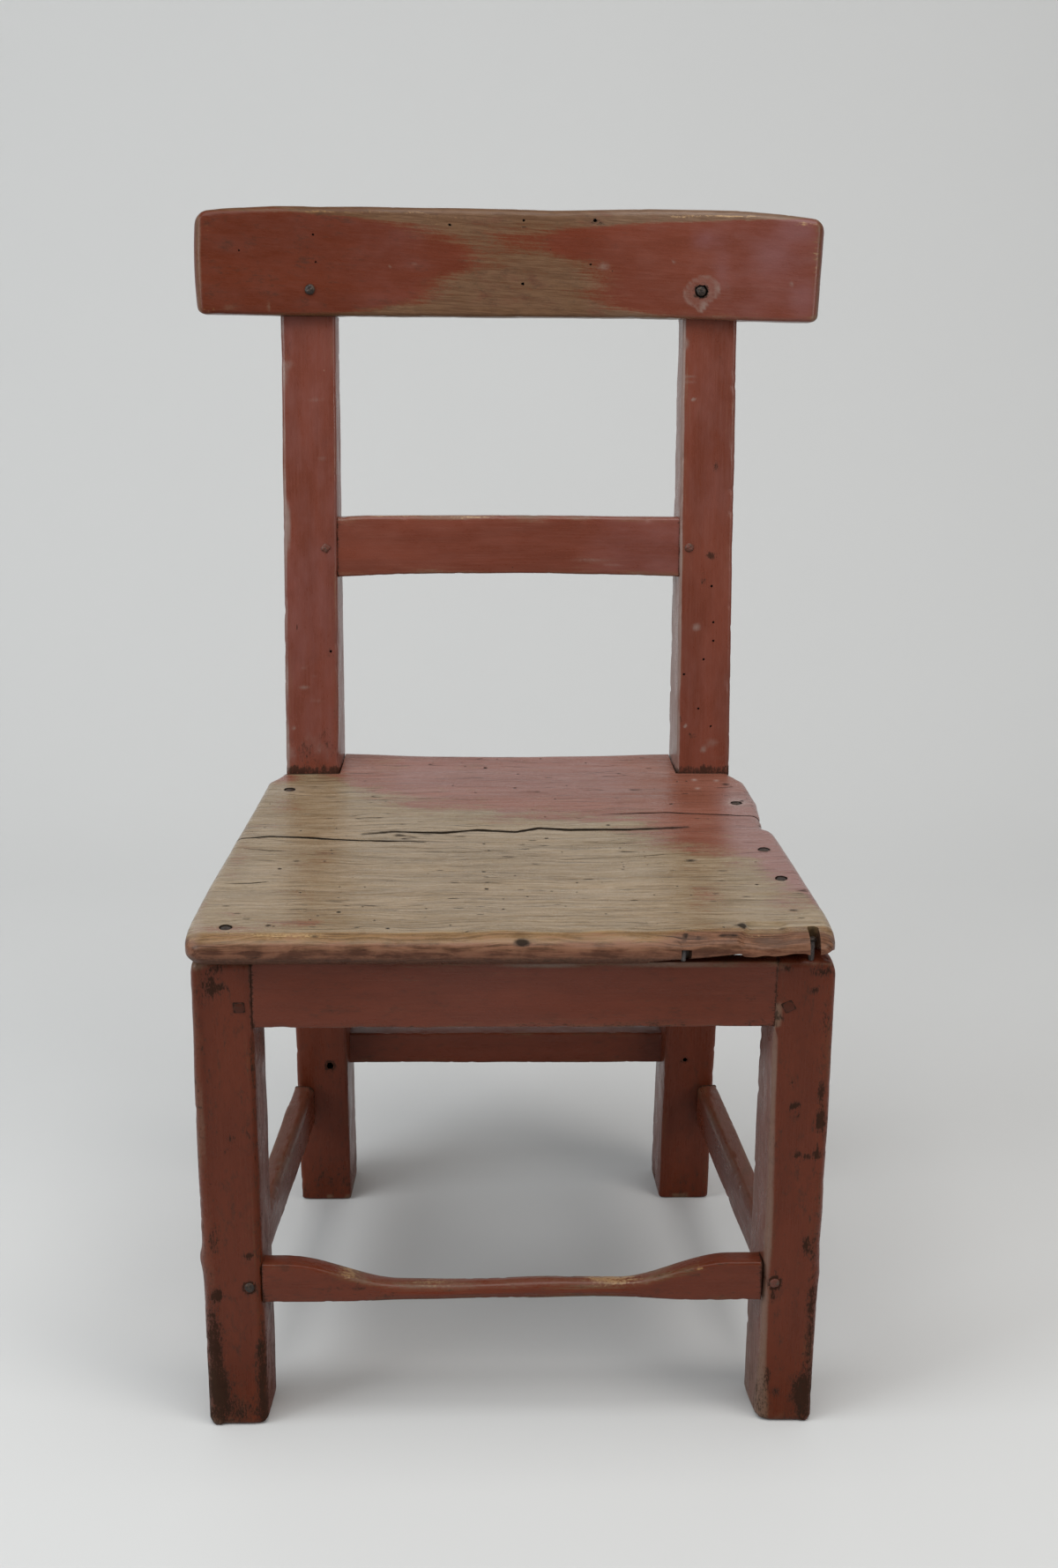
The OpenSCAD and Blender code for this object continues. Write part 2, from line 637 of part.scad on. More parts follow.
// Back rails
function mid_rail_ring(x) =
    let (rise = mid_rail_hollow * (1 - pow(x / post_inner, 2)))
    [for (p = eased(rectangle(mid_rail_set_in, mid_rail_rise + rise, mid_rail_set_in + mid_rail_thickness,
                              mid_rail_rise + mid_rail_height), rail_arris))
        raked([x, p[0], p[1]])];
module mid_rail()
    placed(paint) difference() {
        union() {
            difference() {
                loft([for (k = [-6:6]) mid_rail_ring(post_outer * k / 6)]);
                mirrored_pair() past_post_inside(seat_height, seat_height + crest_rise);
            }
            mirrored_pair() on_back() block(mid_rail_tenon);
        }
        mirrored_pair() at_mid_nail() nail_hole();
    }
module crest_rail()
    placed(paint) difference() {
        loft(crest_rings);
        mirrored_pair() on_back()
            translate([tongue_inner - joint_clearance, tongue_front - joint_clearance, crest_rise - 10])
                cube([tongue_outer - tongue_inner + 2 * joint_clearance, 80,
                      tongue_top - crest_rise + 10 + joint_clearance]);
        at_crest_nails() nail_hole(above = 1);
    }

// Seat plank: one wide board notched round the posts, worn at its edges, waney at its front right corner
seat_shoulder_y = frame_depth - 20;
seat_notch_y = frame_depth - 3;
seat_notch_x = post_outer + 1;
seat_side_slope = (leg_outer - post_outer - seat_overhang) / seat_shoulder_y;
seat_front_x = leg_outer + seat_nose * seat_side_slope;
seat_corners = [
    [-seat_front_x, -seat_nose], [seat_front_x, -seat_nose],
    [post_outer + seat_overhang, seat_shoulder_y], [seat_notch_x, seat_notch_y],
    [seat_notch_x, frame_depth + seat_tail], [-seat_notch_x, frame_depth + seat_tail],
    [-seat_notch_x, seat_notch_y], [-post_outer - seat_overhang, seat_shoulder_y]
];
seat_radii = [seat_corner, seat_corner - 4, 6, 3, 2, 2, 3, 6];
// Distance that an edge is worn back at a height in the plank, as two quarter ellipses. Each wear holds
// how far the top arris is worn back and down, then how far the lower arris is worn back and up
function quarter(reach, t) = reach * (1 - sqrt(max(0, 1 - t * t)));
function worn(z, wear) = z > seat_thickness - wear[1]
    ? quarter(wear[0], (z - seat_thickness + wear[1]) / wear[1])
    : quarter(wear[2], max(0, 1 - z / wear[3]));
front_wear = [15, 9, seat_nose, 10];
side_wear = [8, 6, 3, 4];
rear_wear = [5, 4, 2, 2];
function seat_ring(z) =
    let (
        front = worn(z, front_wear),
        side = worn(z, side_wear),
        rear = worn(z, rear_wear)
    )
    at_height(eased(moved_in(seat_corners, [front, side, side, side, rear, side, side, side]), seat_radii, 4),
              rail_top + z);
seat_levels = concat([0, 1, 3, 6, front_wear[3]],
                     [for (drop = [front_wear[1], 6, 4, 2, 0.8, 0]) seat_thickness - drop]);
// Shakes along the grain: hand-placed points from left to right, widest in the middle
shakes = [
    [[-232, 184], [-195, 188], [-158, 186], [-120, 183], [-70, 180]],
    [[-120, 197], [-97, 201], [-56, 200], [-27, 206], [4, 202], [23, 209], [47, 206], [97, 207], [145, 212]],
    [[76, 241], [129, 243], [157, 241], [222, 235]]
];
shake_width = 1.8;
shake_depth = 7;
module shake(points) {
    last = len(points) - 1;
    function half_width(k) = shake_width / 2 * (0.25 + 0.75 * sin(180 * k / last));
    front = [for (k = [0:last]) points[k] - [0, half_width(k)]];
    back = [for (k = [last:-1:0]) points[k] + [0, half_width(k)]];
    translate([0, 0, seat_height - shake_depth]) linear_extrude(shake_depth + 1) polygon(concat(front, back));
}
module post_notch() {
    side = post_inner - notch_clearance;
    linear_extrude(far)
        polygon([[side, frame_depth - notch_clearance], [far, frame_depth - notch_clearance],
                 [far, frame_depth + 100], [side - 100 * tan(post_splay), frame_depth + 100]]);
}
module wane()
    translate([seat_front_x - wane_length, 0, rail_top])
        rotate([0, 0, wane_turn]) rotate([-wane_slope, 0, 0])
            translate([-150, -90, -60]) cube([400, 90, 60]);
module nail_slot() {
    width = nail_head + 1.6;
    translate([each slot_nail, rail_top - 1]) {
        cylinder(d = width, h = seat_thickness + 2);
        translate([-width / 2, -slot_nail[1] - seat_nose - 1, 0])
            cube([width, slot_nail[1] + seat_nose + 1, seat_thickness + 2]);
    }
}
seat_hollow = 8;
module tail_hollow() {
    half = post_inner;
    linear_extrude(far)
        polygon(concat([for (k = [-8:8])
                           [half * k / 8, frame_depth + seat_tail - seat_hollow * (1 - pow(k / 8, 2))]],
                       [[half, frame_depth + seat_tail + 20], [-half, frame_depth + seat_tail + 20]]));
}
module seat_board()
    placed(bare_wood) difference() {
        loft([for (z = seat_levels) seat_ring(z)]);
        mirrored_pair() post_notch();
        tail_hollow();
        wane();
        nail_slot();
        for (points = shakes) shake(points);
        at_seat_nails() nail_hole(seat_nail_length);
        at_seat_nails() cylinder(d = nail_head + 2 * nail_clearance, h = 10);
        translate([each bare_nail, bare_nail_top]) nail_hole(seat_thickness, 0.5);
    }

// Pegs and nails
module front_rail_pegs() placed(paint) mirrored_pair() block(front_peg);
module side_rail_pegs()
    placed(paint_dark) mirrored_pair() {
        side_rail_peg_front();
        side_rail_peg_back();
    }
module rear_rail_pegs() placed(paint_dark) mirrored_pair() rear_rail_peg();
module rear_stretcher_pegs() placed(paint_dark) mirrored_pair() rear_stretcher_peg();
module crest_nails() placed(iron) at_crest_nails() nail();
module mid_rail_nails() placed(iron) mirrored_pair() at_mid_nail() nail(head = nail_head - 1);
module front_stretcher_nails()
    placed(iron) mirrored_pair() from_front(front_nail_x, front_nail_z) nail(head = nail_head - 1);
module side_stretcher_nails()
    placed(iron) mirrored_pair() {
        at_side_nails_front() nail(side_nail_length);
        at_side_nails_back() nail(side_nail_length);
    }
module seat_nails()
    placed(iron) {
        at_seat_nails() nail(seat_nail_length);
        translate([each bare_nail, rail_top - bare_nail_hold])
            cylinder(d = nail_shank, h = bare_nail_top - rail_top + bare_nail_hold);
        translate([each slot_nail, slot_nail_top - nail_dome])
            nail(slot_nail_top - nail_dome - rail_top + bare_nail_hold);
    }

seat_board();
front_leg_left();
front_leg_right();
back_post_left();
back_post_right();
front_seat_rail();
rear_seat_rail();
side_seat_rail_left();
side_seat_rail_right();
front_stretcher();
rear_stretcher();
side_stretcher_left();
side_stretcher_right();
mid_rail();
crest_rail();
front_rail_pegs();
side_rail_pegs();
rear_rail_pegs();
rear_stretcher_pegs();
crest_nails();
mid_rail_nails();
front_stretcher_nails();
side_stretcher_nails();
seat_nails();
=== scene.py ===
# Painted carpenter's chair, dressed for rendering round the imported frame
# Lengths are in millimetres in the chair's own frame, with Y = 0 at the front legs' front faces, until
# mesh_piece turns them into metres in the row frame. A piece's key seeds its noise and shifts its grain
import math

import bpy
import numpy as np
from mathutils import Matrix, Vector
from mathutils.kdtree import KDTree


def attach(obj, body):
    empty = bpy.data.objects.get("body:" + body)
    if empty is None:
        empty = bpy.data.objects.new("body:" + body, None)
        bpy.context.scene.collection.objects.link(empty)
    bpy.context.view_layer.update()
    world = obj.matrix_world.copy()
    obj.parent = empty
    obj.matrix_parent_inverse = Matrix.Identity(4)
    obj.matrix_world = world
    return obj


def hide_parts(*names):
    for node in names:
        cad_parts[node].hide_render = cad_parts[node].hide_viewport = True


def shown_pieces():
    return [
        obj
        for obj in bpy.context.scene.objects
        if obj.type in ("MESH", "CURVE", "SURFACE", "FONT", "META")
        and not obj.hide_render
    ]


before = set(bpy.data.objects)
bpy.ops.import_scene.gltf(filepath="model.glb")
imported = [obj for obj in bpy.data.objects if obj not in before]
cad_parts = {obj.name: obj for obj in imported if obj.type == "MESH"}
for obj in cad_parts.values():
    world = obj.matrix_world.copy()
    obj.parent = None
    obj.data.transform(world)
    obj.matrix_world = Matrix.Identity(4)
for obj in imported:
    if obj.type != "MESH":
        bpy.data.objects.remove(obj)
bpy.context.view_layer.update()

MM = 0.001

# Driving sizes, as in the part's source
FRAME_Y = -222.99
SEAT_TOP = 430.0
SEAT_THICK = 25.0
RAIL_TOP = SEAT_TOP - SEAT_THICK
RAIL_LOW = RAIL_TOP - 54.0
LEG_OUTER = 238.5
LEG_INNER = 194.0
LEG_DEPTH = 49.0
LEG_SPLAY = math.tan(math.radians(4.5))
DEPTH = 340.0
POST_OUTER = 193.5
POST_OUTER_FOOT = 191.0
POST_WIDTH = 46.5
POST_DEPTH_FOOT = 55.0
POST_DEPTH_SEAT = 50.0
POST_DEPTH_TOP = 29.0
POST_SPLAY = math.tan(math.radians(4.0))
POST_KICK = 8.0
TONGUE_RISE = 470.0
TONGUE_THICK = 15.0
RAKE = math.radians(11.3)
BACK_NORMAL = (0.0, -math.cos(RAKE), math.sin(RAKE))
CREST_RISE = 389.0
CREST_HALF = 264.0
CREST_THICK = 29.0
SIDE_FRONT_X = LEG_OUTER - LEG_DEPTH * LEG_SPLAY - 10
SIDE_TURN = math.atan((SIDE_FRONT_X - POST_OUTER) / (DEPTH - LEG_DEPTH))

# Spacing of a timber's mesh, how far an arris's wear reaches, and how far a rail runs into its carrier
STEP = 2.4
ARRIS_REACH = 4.0
SINK = 1.0

SIDES = ((-1, "left"), (1, "right"))
FORWARD = (0, -1, 0)
BACKWARD = (0, 1, 0)
UPWARD = (0, 0, 1)


def mix(a, b, t):
    return a + (b - a) * t


def smooth(t):
    t = np.clip(t, 0.0, 1.0)
    return t * t * (3 - 2 * t)


def bell(x, middle, width):
    """1 at the middle, falling off over the width."""
    return np.exp(-((x - middle) / width) ** 2)


def quarter(gap, reach):
    """From 1 at an edge to 0 at reach from it, along a quarter of a circle."""
    u = 1 - np.clip(gap / reach, 0, 1)
    return 1 - np.sqrt(np.clip(1 - u * u, 0, 1))


def curve(x, points):
    """Value at x on a line through (x, value) points."""
    xs, ys = zip(*points)
    return np.interp(x, xs, ys)


def blobs(a, b, marks):
    """Sum of soft spots, each mark being (a, b, half width, half height, strength)."""
    total = np.zeros(np.shape(a))
    for mark_a, mark_b, wide, high, strength in marks:
        total += strength * np.exp(-((a - mark_a) / wide) ** 2 - ((b - mark_b) / high) ** 2)
    return total


# Value noise on a wrapped lattice, from -1 to 1
LATTICE_SIZE = 32
LATTICE = np.random.default_rng(11).uniform(-1, 1, (LATTICE_SIZE,) * 3)
KEY_SHIFT = np.array([7.13, 3.71, 5.37])


def noise(p, size, key=0):
    """Noise at points p with waves about size long, a number or one for each axis."""
    q = np.asarray(p, float) / np.asarray(size, float) + KEY_SHIFT * (key + 1)
    cell = np.floor(q).astype(int)
    f = q - cell
    f = f * f * (3 - 2 * f)
    total = 0
    for corner in np.ndindex(2, 2, 2):
        part = np.where(corner, f, 1 - f)
        i, j, k = np.moveaxis((cell + corner) % LATTICE_SIZE, -1, 0)
        total = total + part[..., 0] * part[..., 1] * part[..., 2] * LATTICE[i, j, k]
    return total


def link(name, data):
    """A new object in the scene."""
    thing = bpy.data.objects.new(name, data)
    bpy.context.scene.collection.objects.link(thing)
    return thing


def vertex_places(mesh):
    places = np.empty(3 * len(mesh.vertices), np.float32)
    mesh.vertices.foreach_get("co", places)
    return places.reshape(-1, 3)


def set_attributes(mesh, attributes):
    for key, values in attributes.items():
        values = np.asarray(values, np.float32)
        if values.ndim == 2:
            mesh.attributes.new(key, "FLOAT_VECTOR", "POINT").data.foreach_set("vector", values.ravel())
        else:
            mesh.attributes.new(key, "FLOAT", "POINT").data.foreach_set("value", values)


# The name of each piece's material in MATERIALS
FINISH = {}


def mesh_piece(name, points, faces, node, slot, attributes=None, finish=None):
    """A piece from points in the chair's frame that replaces a CAD node."""
    mesh = bpy.data.meshes.new(name)
    row = (np.asarray(points, float) + [0, FRAME_Y, 0]) * MM
    row[:, 2] = np.maximum(row[:, 2], 0)
    mesh.from_pydata(row.tolist(), [], faces)
    mesh.update()
    set_attributes(mesh, attributes or {})
    mesh.shade_smooth()
    piece = link(name, mesh)
    FINISH[piece.name] = finish or slot
    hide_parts(node)
    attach(piece, "root")
    return piece


def unit(rows):
    return rows / np.linalg.norm(rows, axis=1)[:, None]


def section(s, us, vs):
    """A section's four corners, counter-clockwise, at each of the stations s."""
    corners = np.zeros((len(s), 4, 2))
    for k in range(4):
        corners[:, k, 0] = us[k]
        corners[:, k, 1] = vs[k]
    return corners


def section_ring(corners, radii, arc, sides):
    """Sections with arcs for corners and evenly spaced points on their sides.
    corners is (stations, 4, 2) and radii is (stations, 4). Returns points as (stations, K, 2) and, for each
    of the K, how near it is to an arris, from 0 to 1."""
    arcs = []
    for k in range(4):
        here = corners[:, k]
        before = unit(corners[:, k - 1] - here)
        after = unit(corners[:, (k + 1) % 4] - here)
        half = np.arccos(np.clip((before * after).sum(1), -1, 1)) / 2
        r = radii[:, k]
        centre = here + unit(before + after) * (r / np.sin(half))[:, None]
        start = here + before * (r / np.tan(half))[:, None] - centre
        turn = (np.pi - 2 * half)[:, None] * np.linspace(0, 1, arc + 1)
        angle = np.arctan2(start[:, 1], start[:, 0])[:, None] + turn
        arcs.append(centre[:, None] + r[:, None, None] * np.stack([np.cos(angle), np.sin(angle)], -1))
    ring = []
    near = []
    for k, count in enumerate(sides):
        t = np.arange(1, count) / count
        p, q = arcs[k][:, -1], arcs[(k + 1) % 4][:, 0]
        length = np.linalg.norm(q[0] - p[0])
        ring += [arcs[k], p[:, None] + (q - p)[:, None] * t[None, :, None]]
        near += [1.0] * (arc + 1) + list(np.exp(-np.minimum(t, 1 - t) * length / ARRIS_REACH))
    return np.concatenate(ring, 1), np.array(near)


def tube(points, cap_rings=5):
    """Points and faces of a closed tube through rings (stations, K, 3), with ends of shrinking rings."""
    count, k = points.shape[:2]
    i = np.arange(k)
    j = (i + 1) % k
    flat = [points.reshape(-1, 3)]
    faces = []
    for start in range(0, (count - 1) * k, k):
        faces += np.stack([start + i, start + j, start + k + j, start + k + i], 1).tolist()
    total = count * k
    for end, last in ((0, 0), (count - 1, (count - 1) * k)):
        ring = points[end]
        middle = ring.mean(0)
        for c in range(1, cap_rings):
            flat.append(ring + (middle - ring) * (c / cap_rings))
            quads = np.stack([last + i, total + i, total + j, last + j], 1)
            faces += (quads if end == 0 else quads[:, [0, 3, 2, 1]]).tolist()
            last = total
            total += k
        flat.append(middle[None])
        for n in range(k):
            triangle = [last + n, total, last + (n + 1) % k]
            faces.append(triangle if end == 0 else triangle[::-1])
        total += 1
    return np.concatenate(flat), faces


def vertex_normals(points, faces):
    quads = np.array([f if len(f) == 4 else [*f, f[2]] for f in faces])
    a, b, c, d = (points[quads[:, n]] for n in range(4))
    triangle = (quads[:, 2] == quads[:, 3])[:, None]
    normal = np.where(triangle, np.cross(b - a, c - a), np.cross(c - a, d - b))
    total = np.zeros_like(points)
    for n in range(4):
        np.add.at(total, quads[:, n], normal)
    return total / np.maximum(np.linalg.norm(total, axis=1)[:, None], 1e-9)


def outward(points, faces):
    """The same faces, turned over where a mirrored piece left them facing inwards."""
    thirds = np.array([(f[0], f[n], f[n + 1]) for f in faces for n in range(1, len(f) - 1)])
    a, b, c = (points[thirds[:, n]] for n in range(3))
    return faces if (np.cross(a, b) * c).sum() > 0 else [f[::-1] for f in faces]


def stations(length):
    """Places along a timber, closer at both ends."""
    first, second = 0.6, 2.0
    count = max(2, int(round((length - 2 * second) / STEP)) + 1)
    inner = np.linspace(second, length - second, count)
    return np.concatenate([[0, first], inner, [length - first, length]])


def timber(name, corners, radii, place, at, key, dress, arc=5, end_ease=0.5, tilt=0.0):
    """One painted timber, lofted through sections at the stations in at.
    corners(s) and radii(s) give the sections at stations s, place(s, ring) their points in the chair's frame.
    dress(points, normals, near, along) gives the inward wear and the attributes."""
    c = corners(at)
    sides = [max(3, int(round(np.linalg.norm(c[0, (k + 1) % 4] - c[0, k]) / STEP))) for k in range(4)]
    ring, near = section_ring(c, radii(at), arc, sides)
    # Both ends are eased a little
    length = at[-1]
    inset = end_ease * quarter(np.minimum(at, length - at), end_ease)
    middle = ring.mean(1)[:, None]
    offset = ring - middle
    reach = np.abs(offset).max(1)[:, None]
    ring = middle + offset * (1 - inset[:, None, None] / reach)
    points, faces = tube(place(at, ring))
    faces = outward(points, faces)
    around = ring.shape[1]
    cap_points = len(points) - len(at) * around
    along = np.concatenate([np.repeat(at, around), np.repeat([0, length], cap_points // 2)])
    near = np.concatenate([np.tile(near, len(at)), np.zeros(cap_points)])
    normals = vertex_normals(points, faces)
    moved, attributes = dress(points, normals, near, along)
    points = points - normals * moved[:, None]
    # The grain's first coordinate runs along the timber
    grain, _ = tube(np.concatenate([np.broadcast_to(at[:, None, None], ring.shape[:2] + (1,)), ring], 2))
    grain[:, 2] += tilt * grain[:, 0]
    attributes["grain"] = (grain + key * 13.7 * np.array([1, 0.37, 0.71])) * MM
    return mesh_piece(name, points, faces, name, "painted_wood", attributes)


def old_surface(points, near, key, nick=0.9):
    """Inward wear of an old timber: slow waves, small dents and nicked arrises."""
    wave = 0.28 * noise(points, 55, key) + 0.12 * noise(points, 19, key + 1)
    pits = np.clip(noise(points, (9, 9, 14), key + 2) - 0.45, 0, 1) * 0.45 * 1.6
    nicks = near * np.clip(noise(points, 6.5, key + 3) - 0.35, 0, 1) * nick * 1.6
    round_off = near * (0.25 + 0.35 * noise(points, 28, key + 4))
    return wave + pits + nicks + round_off


def arris_wear(points, near, key):
    """Paint rubbed thin on the arrises and a little on the faces."""
    return 0.5 * near * (0.5 + 0.5 * noise(points, 25, key + 7)) + 0.12 * noise(points, 40, key + 8)


def window_lit_arris(normals, near):
    """The arrises that face the window at the front left, which get a painted highlight."""
    return near * smooth(-normals[:, 0] * 3) * smooth(-normals[:, 1] * 3)


def plain_dress(key, length, smoke=0.60):
    """The dress of a rail that nothing in particular has happened to."""
    def dress(points, normals, near, along):
        ends = np.minimum(along, length - along)
        moved = old_surface(points, near, key)
        moved *= np.clip(ends / 4, 0.15, 1)
        wear = 0.55 * near * (0.6 + 0.5 * noise(points, 22, key + 7)) + 0.12 * noise(points, 40, key + 8)
        grime = 0.16 + 1.0 * np.exp(-ends / 1.6)
        # Painted shade below the seat
        soot = smoke * smooth((420 - points[:, 2]) / 10)
        return moved, {"wear": wear, "grime": grime, "soot": soot, "pale": np.zeros(len(points))}
    return dress


# Dirt on the front rail's face, at x and z, read off the photograph
RAIL_DIRT = [
    (177, 375, 4, 3, 0.8), (186, 357, 3, 2.5, 0.5), (172, 378, 3, 2, 0.5), (-100, 392, 4, 2, 0.4),
    (10, 399, 4, 1.5, 0.5), (60, 366, 5, 2, 0.3), (-30, 372, 6, 2, 0.25),
]


def front_rail_dress(key, length):
    def dress(points, normals, near, along):
        moved, made = plain_dress(key, length, 0.46)(points, normals, near, along)
        x, y, z = points.T
        # A line along the top front arris, where the paint is rubbed and a painted highlight is laid on
        rubbed_and_lit = bell(z, 402.9, 2.3) * (y < 3) * smooth((x + 40) / 60)
        made["pale"] = 1.1 * rubbed_and_lit * smooth(0.6 + noise(points, (30, 8, 8), key + 15))
        made["wear"] += 0.4 * rubbed_and_lit + 0.16 * bell(x, -12, 55)
        made["grime"] += blobs(x, z, RAIL_DIRT) * (y < 4) + 0.34 * bell(z, 353, 3)
        made["grime"] += 0.22 * noise(points, (40, 14, 14), key + 19)
        # The painted shade varies along the rail, lighter in the middle
        made["soot"] += 0.14 * noise(points, (90, 30, 22), key + 20) + 0.08 * smooth((np.abs(x) - 80) / 60)
        made["soot"] -= 0.16 * bell(x, -10, 70)
        return moved, made
    return dress


def side_stretcher_dress(key, length):
    def dress(points, normals, near, along):
        moved, made = plain_dress(key, length)(points, normals, near, along)
        # Painted light: the top faces are paler
        made["pale"] = 0.40 * smooth(normals[:, 2] * 2)
        made["grime"] += 0.45 * np.exp(-np.minimum(along, length - along) / 9)
        return moved, made
    return dress


def straight(origin, tangent, u, v):
    """Places sections along a straight line, with u and v as their directions."""
    origin, tangent, u, v = (np.array(w, float) for w in (origin, tangent, u, v))

    def place(s, ring):
        return origin + s[:, None, None] * tangent + ring[..., 0:1] * u + ring[..., 1:2] * v
    return place


def along_x(half):
    return straight([-half, 0, 0], [1, 0, 0], [0, 1, 0], [0, 0, 1])


def across(s, ring):
    """The stations' places as x for every point of a ring."""
    return np.repeat(s[:, None], ring.shape[1], 1)


def box(u0, v0, u1, v1):
    """A rectangular section that stays the same along the timber."""
    return lambda s: section(s, (u0, u1, u1, u0), (v0, v0, v1, v1))


def same_radii(*four):
    return lambda s: np.repeat([four], len(s), 0)


# Dirt on the legs' front faces, at x and z, read off the photograph
LEG_DIRT = {
    -1: [
        (-225, 385, 6, 12, 0.9), (-216, 384, 6, 3.5, 0.6), (-219, 400, 8, 4, 0.6), (-214, 258, 3.5, 4, 0.8),
        (-219, 248, 4.5, 3, 0.6), (-204, 156, 3.5, 3.5, 1.1), (-229, 121, 4, 5, 1.0),
        (-201, 258, 2.5, 14, 0.4), (-230, 170, 4, 12, 0.5), (-232, 78, 5, 34, 0.8), (-227, 34, 9, 18, 0.9),
        (-214, 14, 18, 12, 0.6), (-198, 48, 4, 36, 0.6), (-216, 284, 4, 5, 0.3), (-197, 330, 2.5, 30, 0.3),
    ],
    1: [
        (224, 382, 4, 4.5, 0.8), (198.6, 359, 4.5, 3, 0.7), (210, 304, 2.5, 2.5, 0.7),
        (214.5, 286, 4, 2.5, 1.1), (211, 283, 3, 2.5, 0.8), (216, 276, 2.4, 3.2, 0.9), (217, 243, 3, 3, 1.1),
        (224.5, 241, 3, 3, 1.1), (232, 296, 2.4, 8, 0.9), (233, 272, 3, 10, 1.0), (232, 243, 3, 7, 0.6),
        (225, 397, 10, 5, 0.6), (203, 399, 6, 3, 0.8), (231, 357, 4, 10, 0.4), (204, 117, 1.8, 7, 1.0),
        (205, 138, 1.8, 5, 0.6), (228, 163, 4, 9, 0.8), (229, 27, 8, 17, 1.0), (203, 44, 2.5, 7, 0.7),
        (211, 28, 5, 6, 0.6), (234, 100, 3, 50, 0.5),
    ],
}
# Lumps beside the side nails, as y, z and height, and how far the outer arris stands out, high and low down
LEG_LUMP = {-1: (16, 148, 3.0), 1: (16, 136, 1.7)}
LEG_SWELL = {-1: (3.4, 2.4), 1: (2.2, 1.2)}
# Nails that hold the front stretcher's tenons
STRETCHER_NAIL_X = 204.8
STRETCHER_NAIL_Z = {-1: 127.4, 1: 129.0}


def front_leg(name, side, key):
    left = side < 0

    def corners(s):
        inner = LEG_INNER + (0.3 if left else 2.4 * smooth((370 - s) / 160))
        back = LEG_DEPTH * LEG_SPLAY
        us = (inner, LEG_OUTER, LEG_OUTER - back, LEG_INNER - back)
        return section(s, us, (0, 0, LEG_DEPTH, LEG_DEPTH))

    def radii(s):
        lower = smooth((300 - s) / 150)
        below_rail = smooth((352 - s) / 12)
        foot_round = 0 if left else 4.0 * smooth((70 - s) / 60)
        inner = mix(1.3, mix(4.6, 6.5, lower), below_rail) + foot_round
        outer = mix(5.5, 9.5 if left else 7.5, lower)
        return np.stack([inner, outer, mix(3.5, 5.0, lower), mix(3.0, 4.0, lower)], 1)

    def place(s, ring):
        return np.stack([side * ring[..., 0], ring[..., 1], across(s, ring)], -1)

    def dress(points, normals, near, along):
        x, y, z = points[:, 0] * side, points[:, 1], points[:, 2]
        outer = smooth(normals[:, 0] * side * 2)
        inner = smooth(-normals[:, 0] * side * 2)
        front = y < 8
        low = smooth((110 - z) / 110)
        shoulder = smooth((x - 224) / 15) * smooth((z - 391) / 14)
        lump_y, lump_z, lump = LEG_LUMP[side]
        swell = mix(*LEG_SWELL[side], smooth((z - 200) / 200))
        moved = old_surface(points, near, key) + (1.4 if left else 2.4) * shoulder ** 1.5
        moved -= outer * (blobs(y, z, [(lump_y, lump_z, 11, 9, lump)]) + swell * smooth((27 - y) / 14))
        from_nail = np.hypot(x - STRETCHER_NAIL_X, z - STRETCHER_NAIL_Z[side])
        at_rail = smooth((z - 349) / 3) * smooth((6 - y) / 4)
        grime = 0.22 + 0.12 * low + 0.20 * near * low + 0.16 * smooth((x - 222) / 14) + 0.10 * near
        grime += blobs(points[:, 0], z, LEG_DIRT[side]) * front * (1 - 0.30 * low)
        grime += 0.9 * bell(from_nail, 4.9, 1.5) * front
        grime += (0.7 if left else 0.3) * at_rail * smooth((198 - x) / 2.4)
        grime += outer * blobs(y, z, [(lump_y, lump_z - 14, 9, 9, 0.9)])
        # Along the top front arris the paint is worn and carries a painted highlight
        worn_lit_top = bell(z, 402.5, 2.0) * (y < 5)
        # A painted highlight on the arrises that face the window
        lit = window_lit_arris(normals, near) * (0.8 + 0.6 * noise(points, (14, 14, 30), key + 16))
        pale = 0.45 * worn_lit_top + 0.24 * low
        pale += 0.35 * smooth((10 - z) / 6) * smooth(noise(points, 5, key + 18) * 2)
        # Painted light and shade by side: the left leg's inner face is darkened as painted shade, and its
        # outer arris and top outer corner get painted highlights. The right leg's arrises, inner face and
        # inner arris beside the rail are made paler as painted light
        if left:
            grime += 0.22 * inner
            pale += mix(0.55, 0.30, smooth((240 - z) / 80)) * lit
            pale += 0.5 * smooth((z - 396) / 6) * smooth((x - 226) / 6)
        else:
            arris = at_rail * smooth((201 - x) / 3)
            pale += 0.6 * lit + 0.32 * inner + arris * smooth(0.7 + noise(points, (9, 9, 14), key + 15))
        # Painted shade: darker lower down and on the left leg's inner face, lighter on the right leg's inner
        # face
        soot = 0.70 + 0.26 * low + (0.28 if left else -0.25) * inner
        wear = arris_wear(points, near, key) + 0.45 * worn_lit_top
        return moved, {"wear": wear, "grime": grime, "soot": soot, "pale": pale}
    timber(name, corners, radii, place, stations(RAIL_TOP), key, dress, end_ease=4.5)


front_leg("front_leg_left", -1, 3)
front_leg("front_leg_right", 1, 17)


# Dirt and pale rubs on the posts' front faces, at x and the height along the rake above the seat
POST_DIRT = {
    -1: [
        (-177, 20, 9, 9, 0.75), (-158, 30, 7, 16, 0.5), (-155, 105, 3, 9, 0.6), (-188, 366, 4, 14, 0.5),
        (-174, 354, 6, 7, 0.35), (-171, 8, 16, 6, 0.4), (-150, 60, 2.5, 60, 0.35),
    ],
    1: [
        (174, 189, 5, 4, 1.0), (167.6, 167, 3, 3, 0.9), (168, 173, 2.5, 2.5, 0.8), (171, 162, 4, 3, 0.5),
        (177, 266, 4, 6, 0.6), (178, 355, 4, 5, 0.4), (149.5, 47, 1.8, 6, 0.9), (152, 63, 4, 5, 0.5),
        (158.6, 33, 2.2, 2.2, 0.9), (162.5, 31, 2.2, 2.2, 0.8), (170, 9, 20, 4, 0.35),
    ],
}
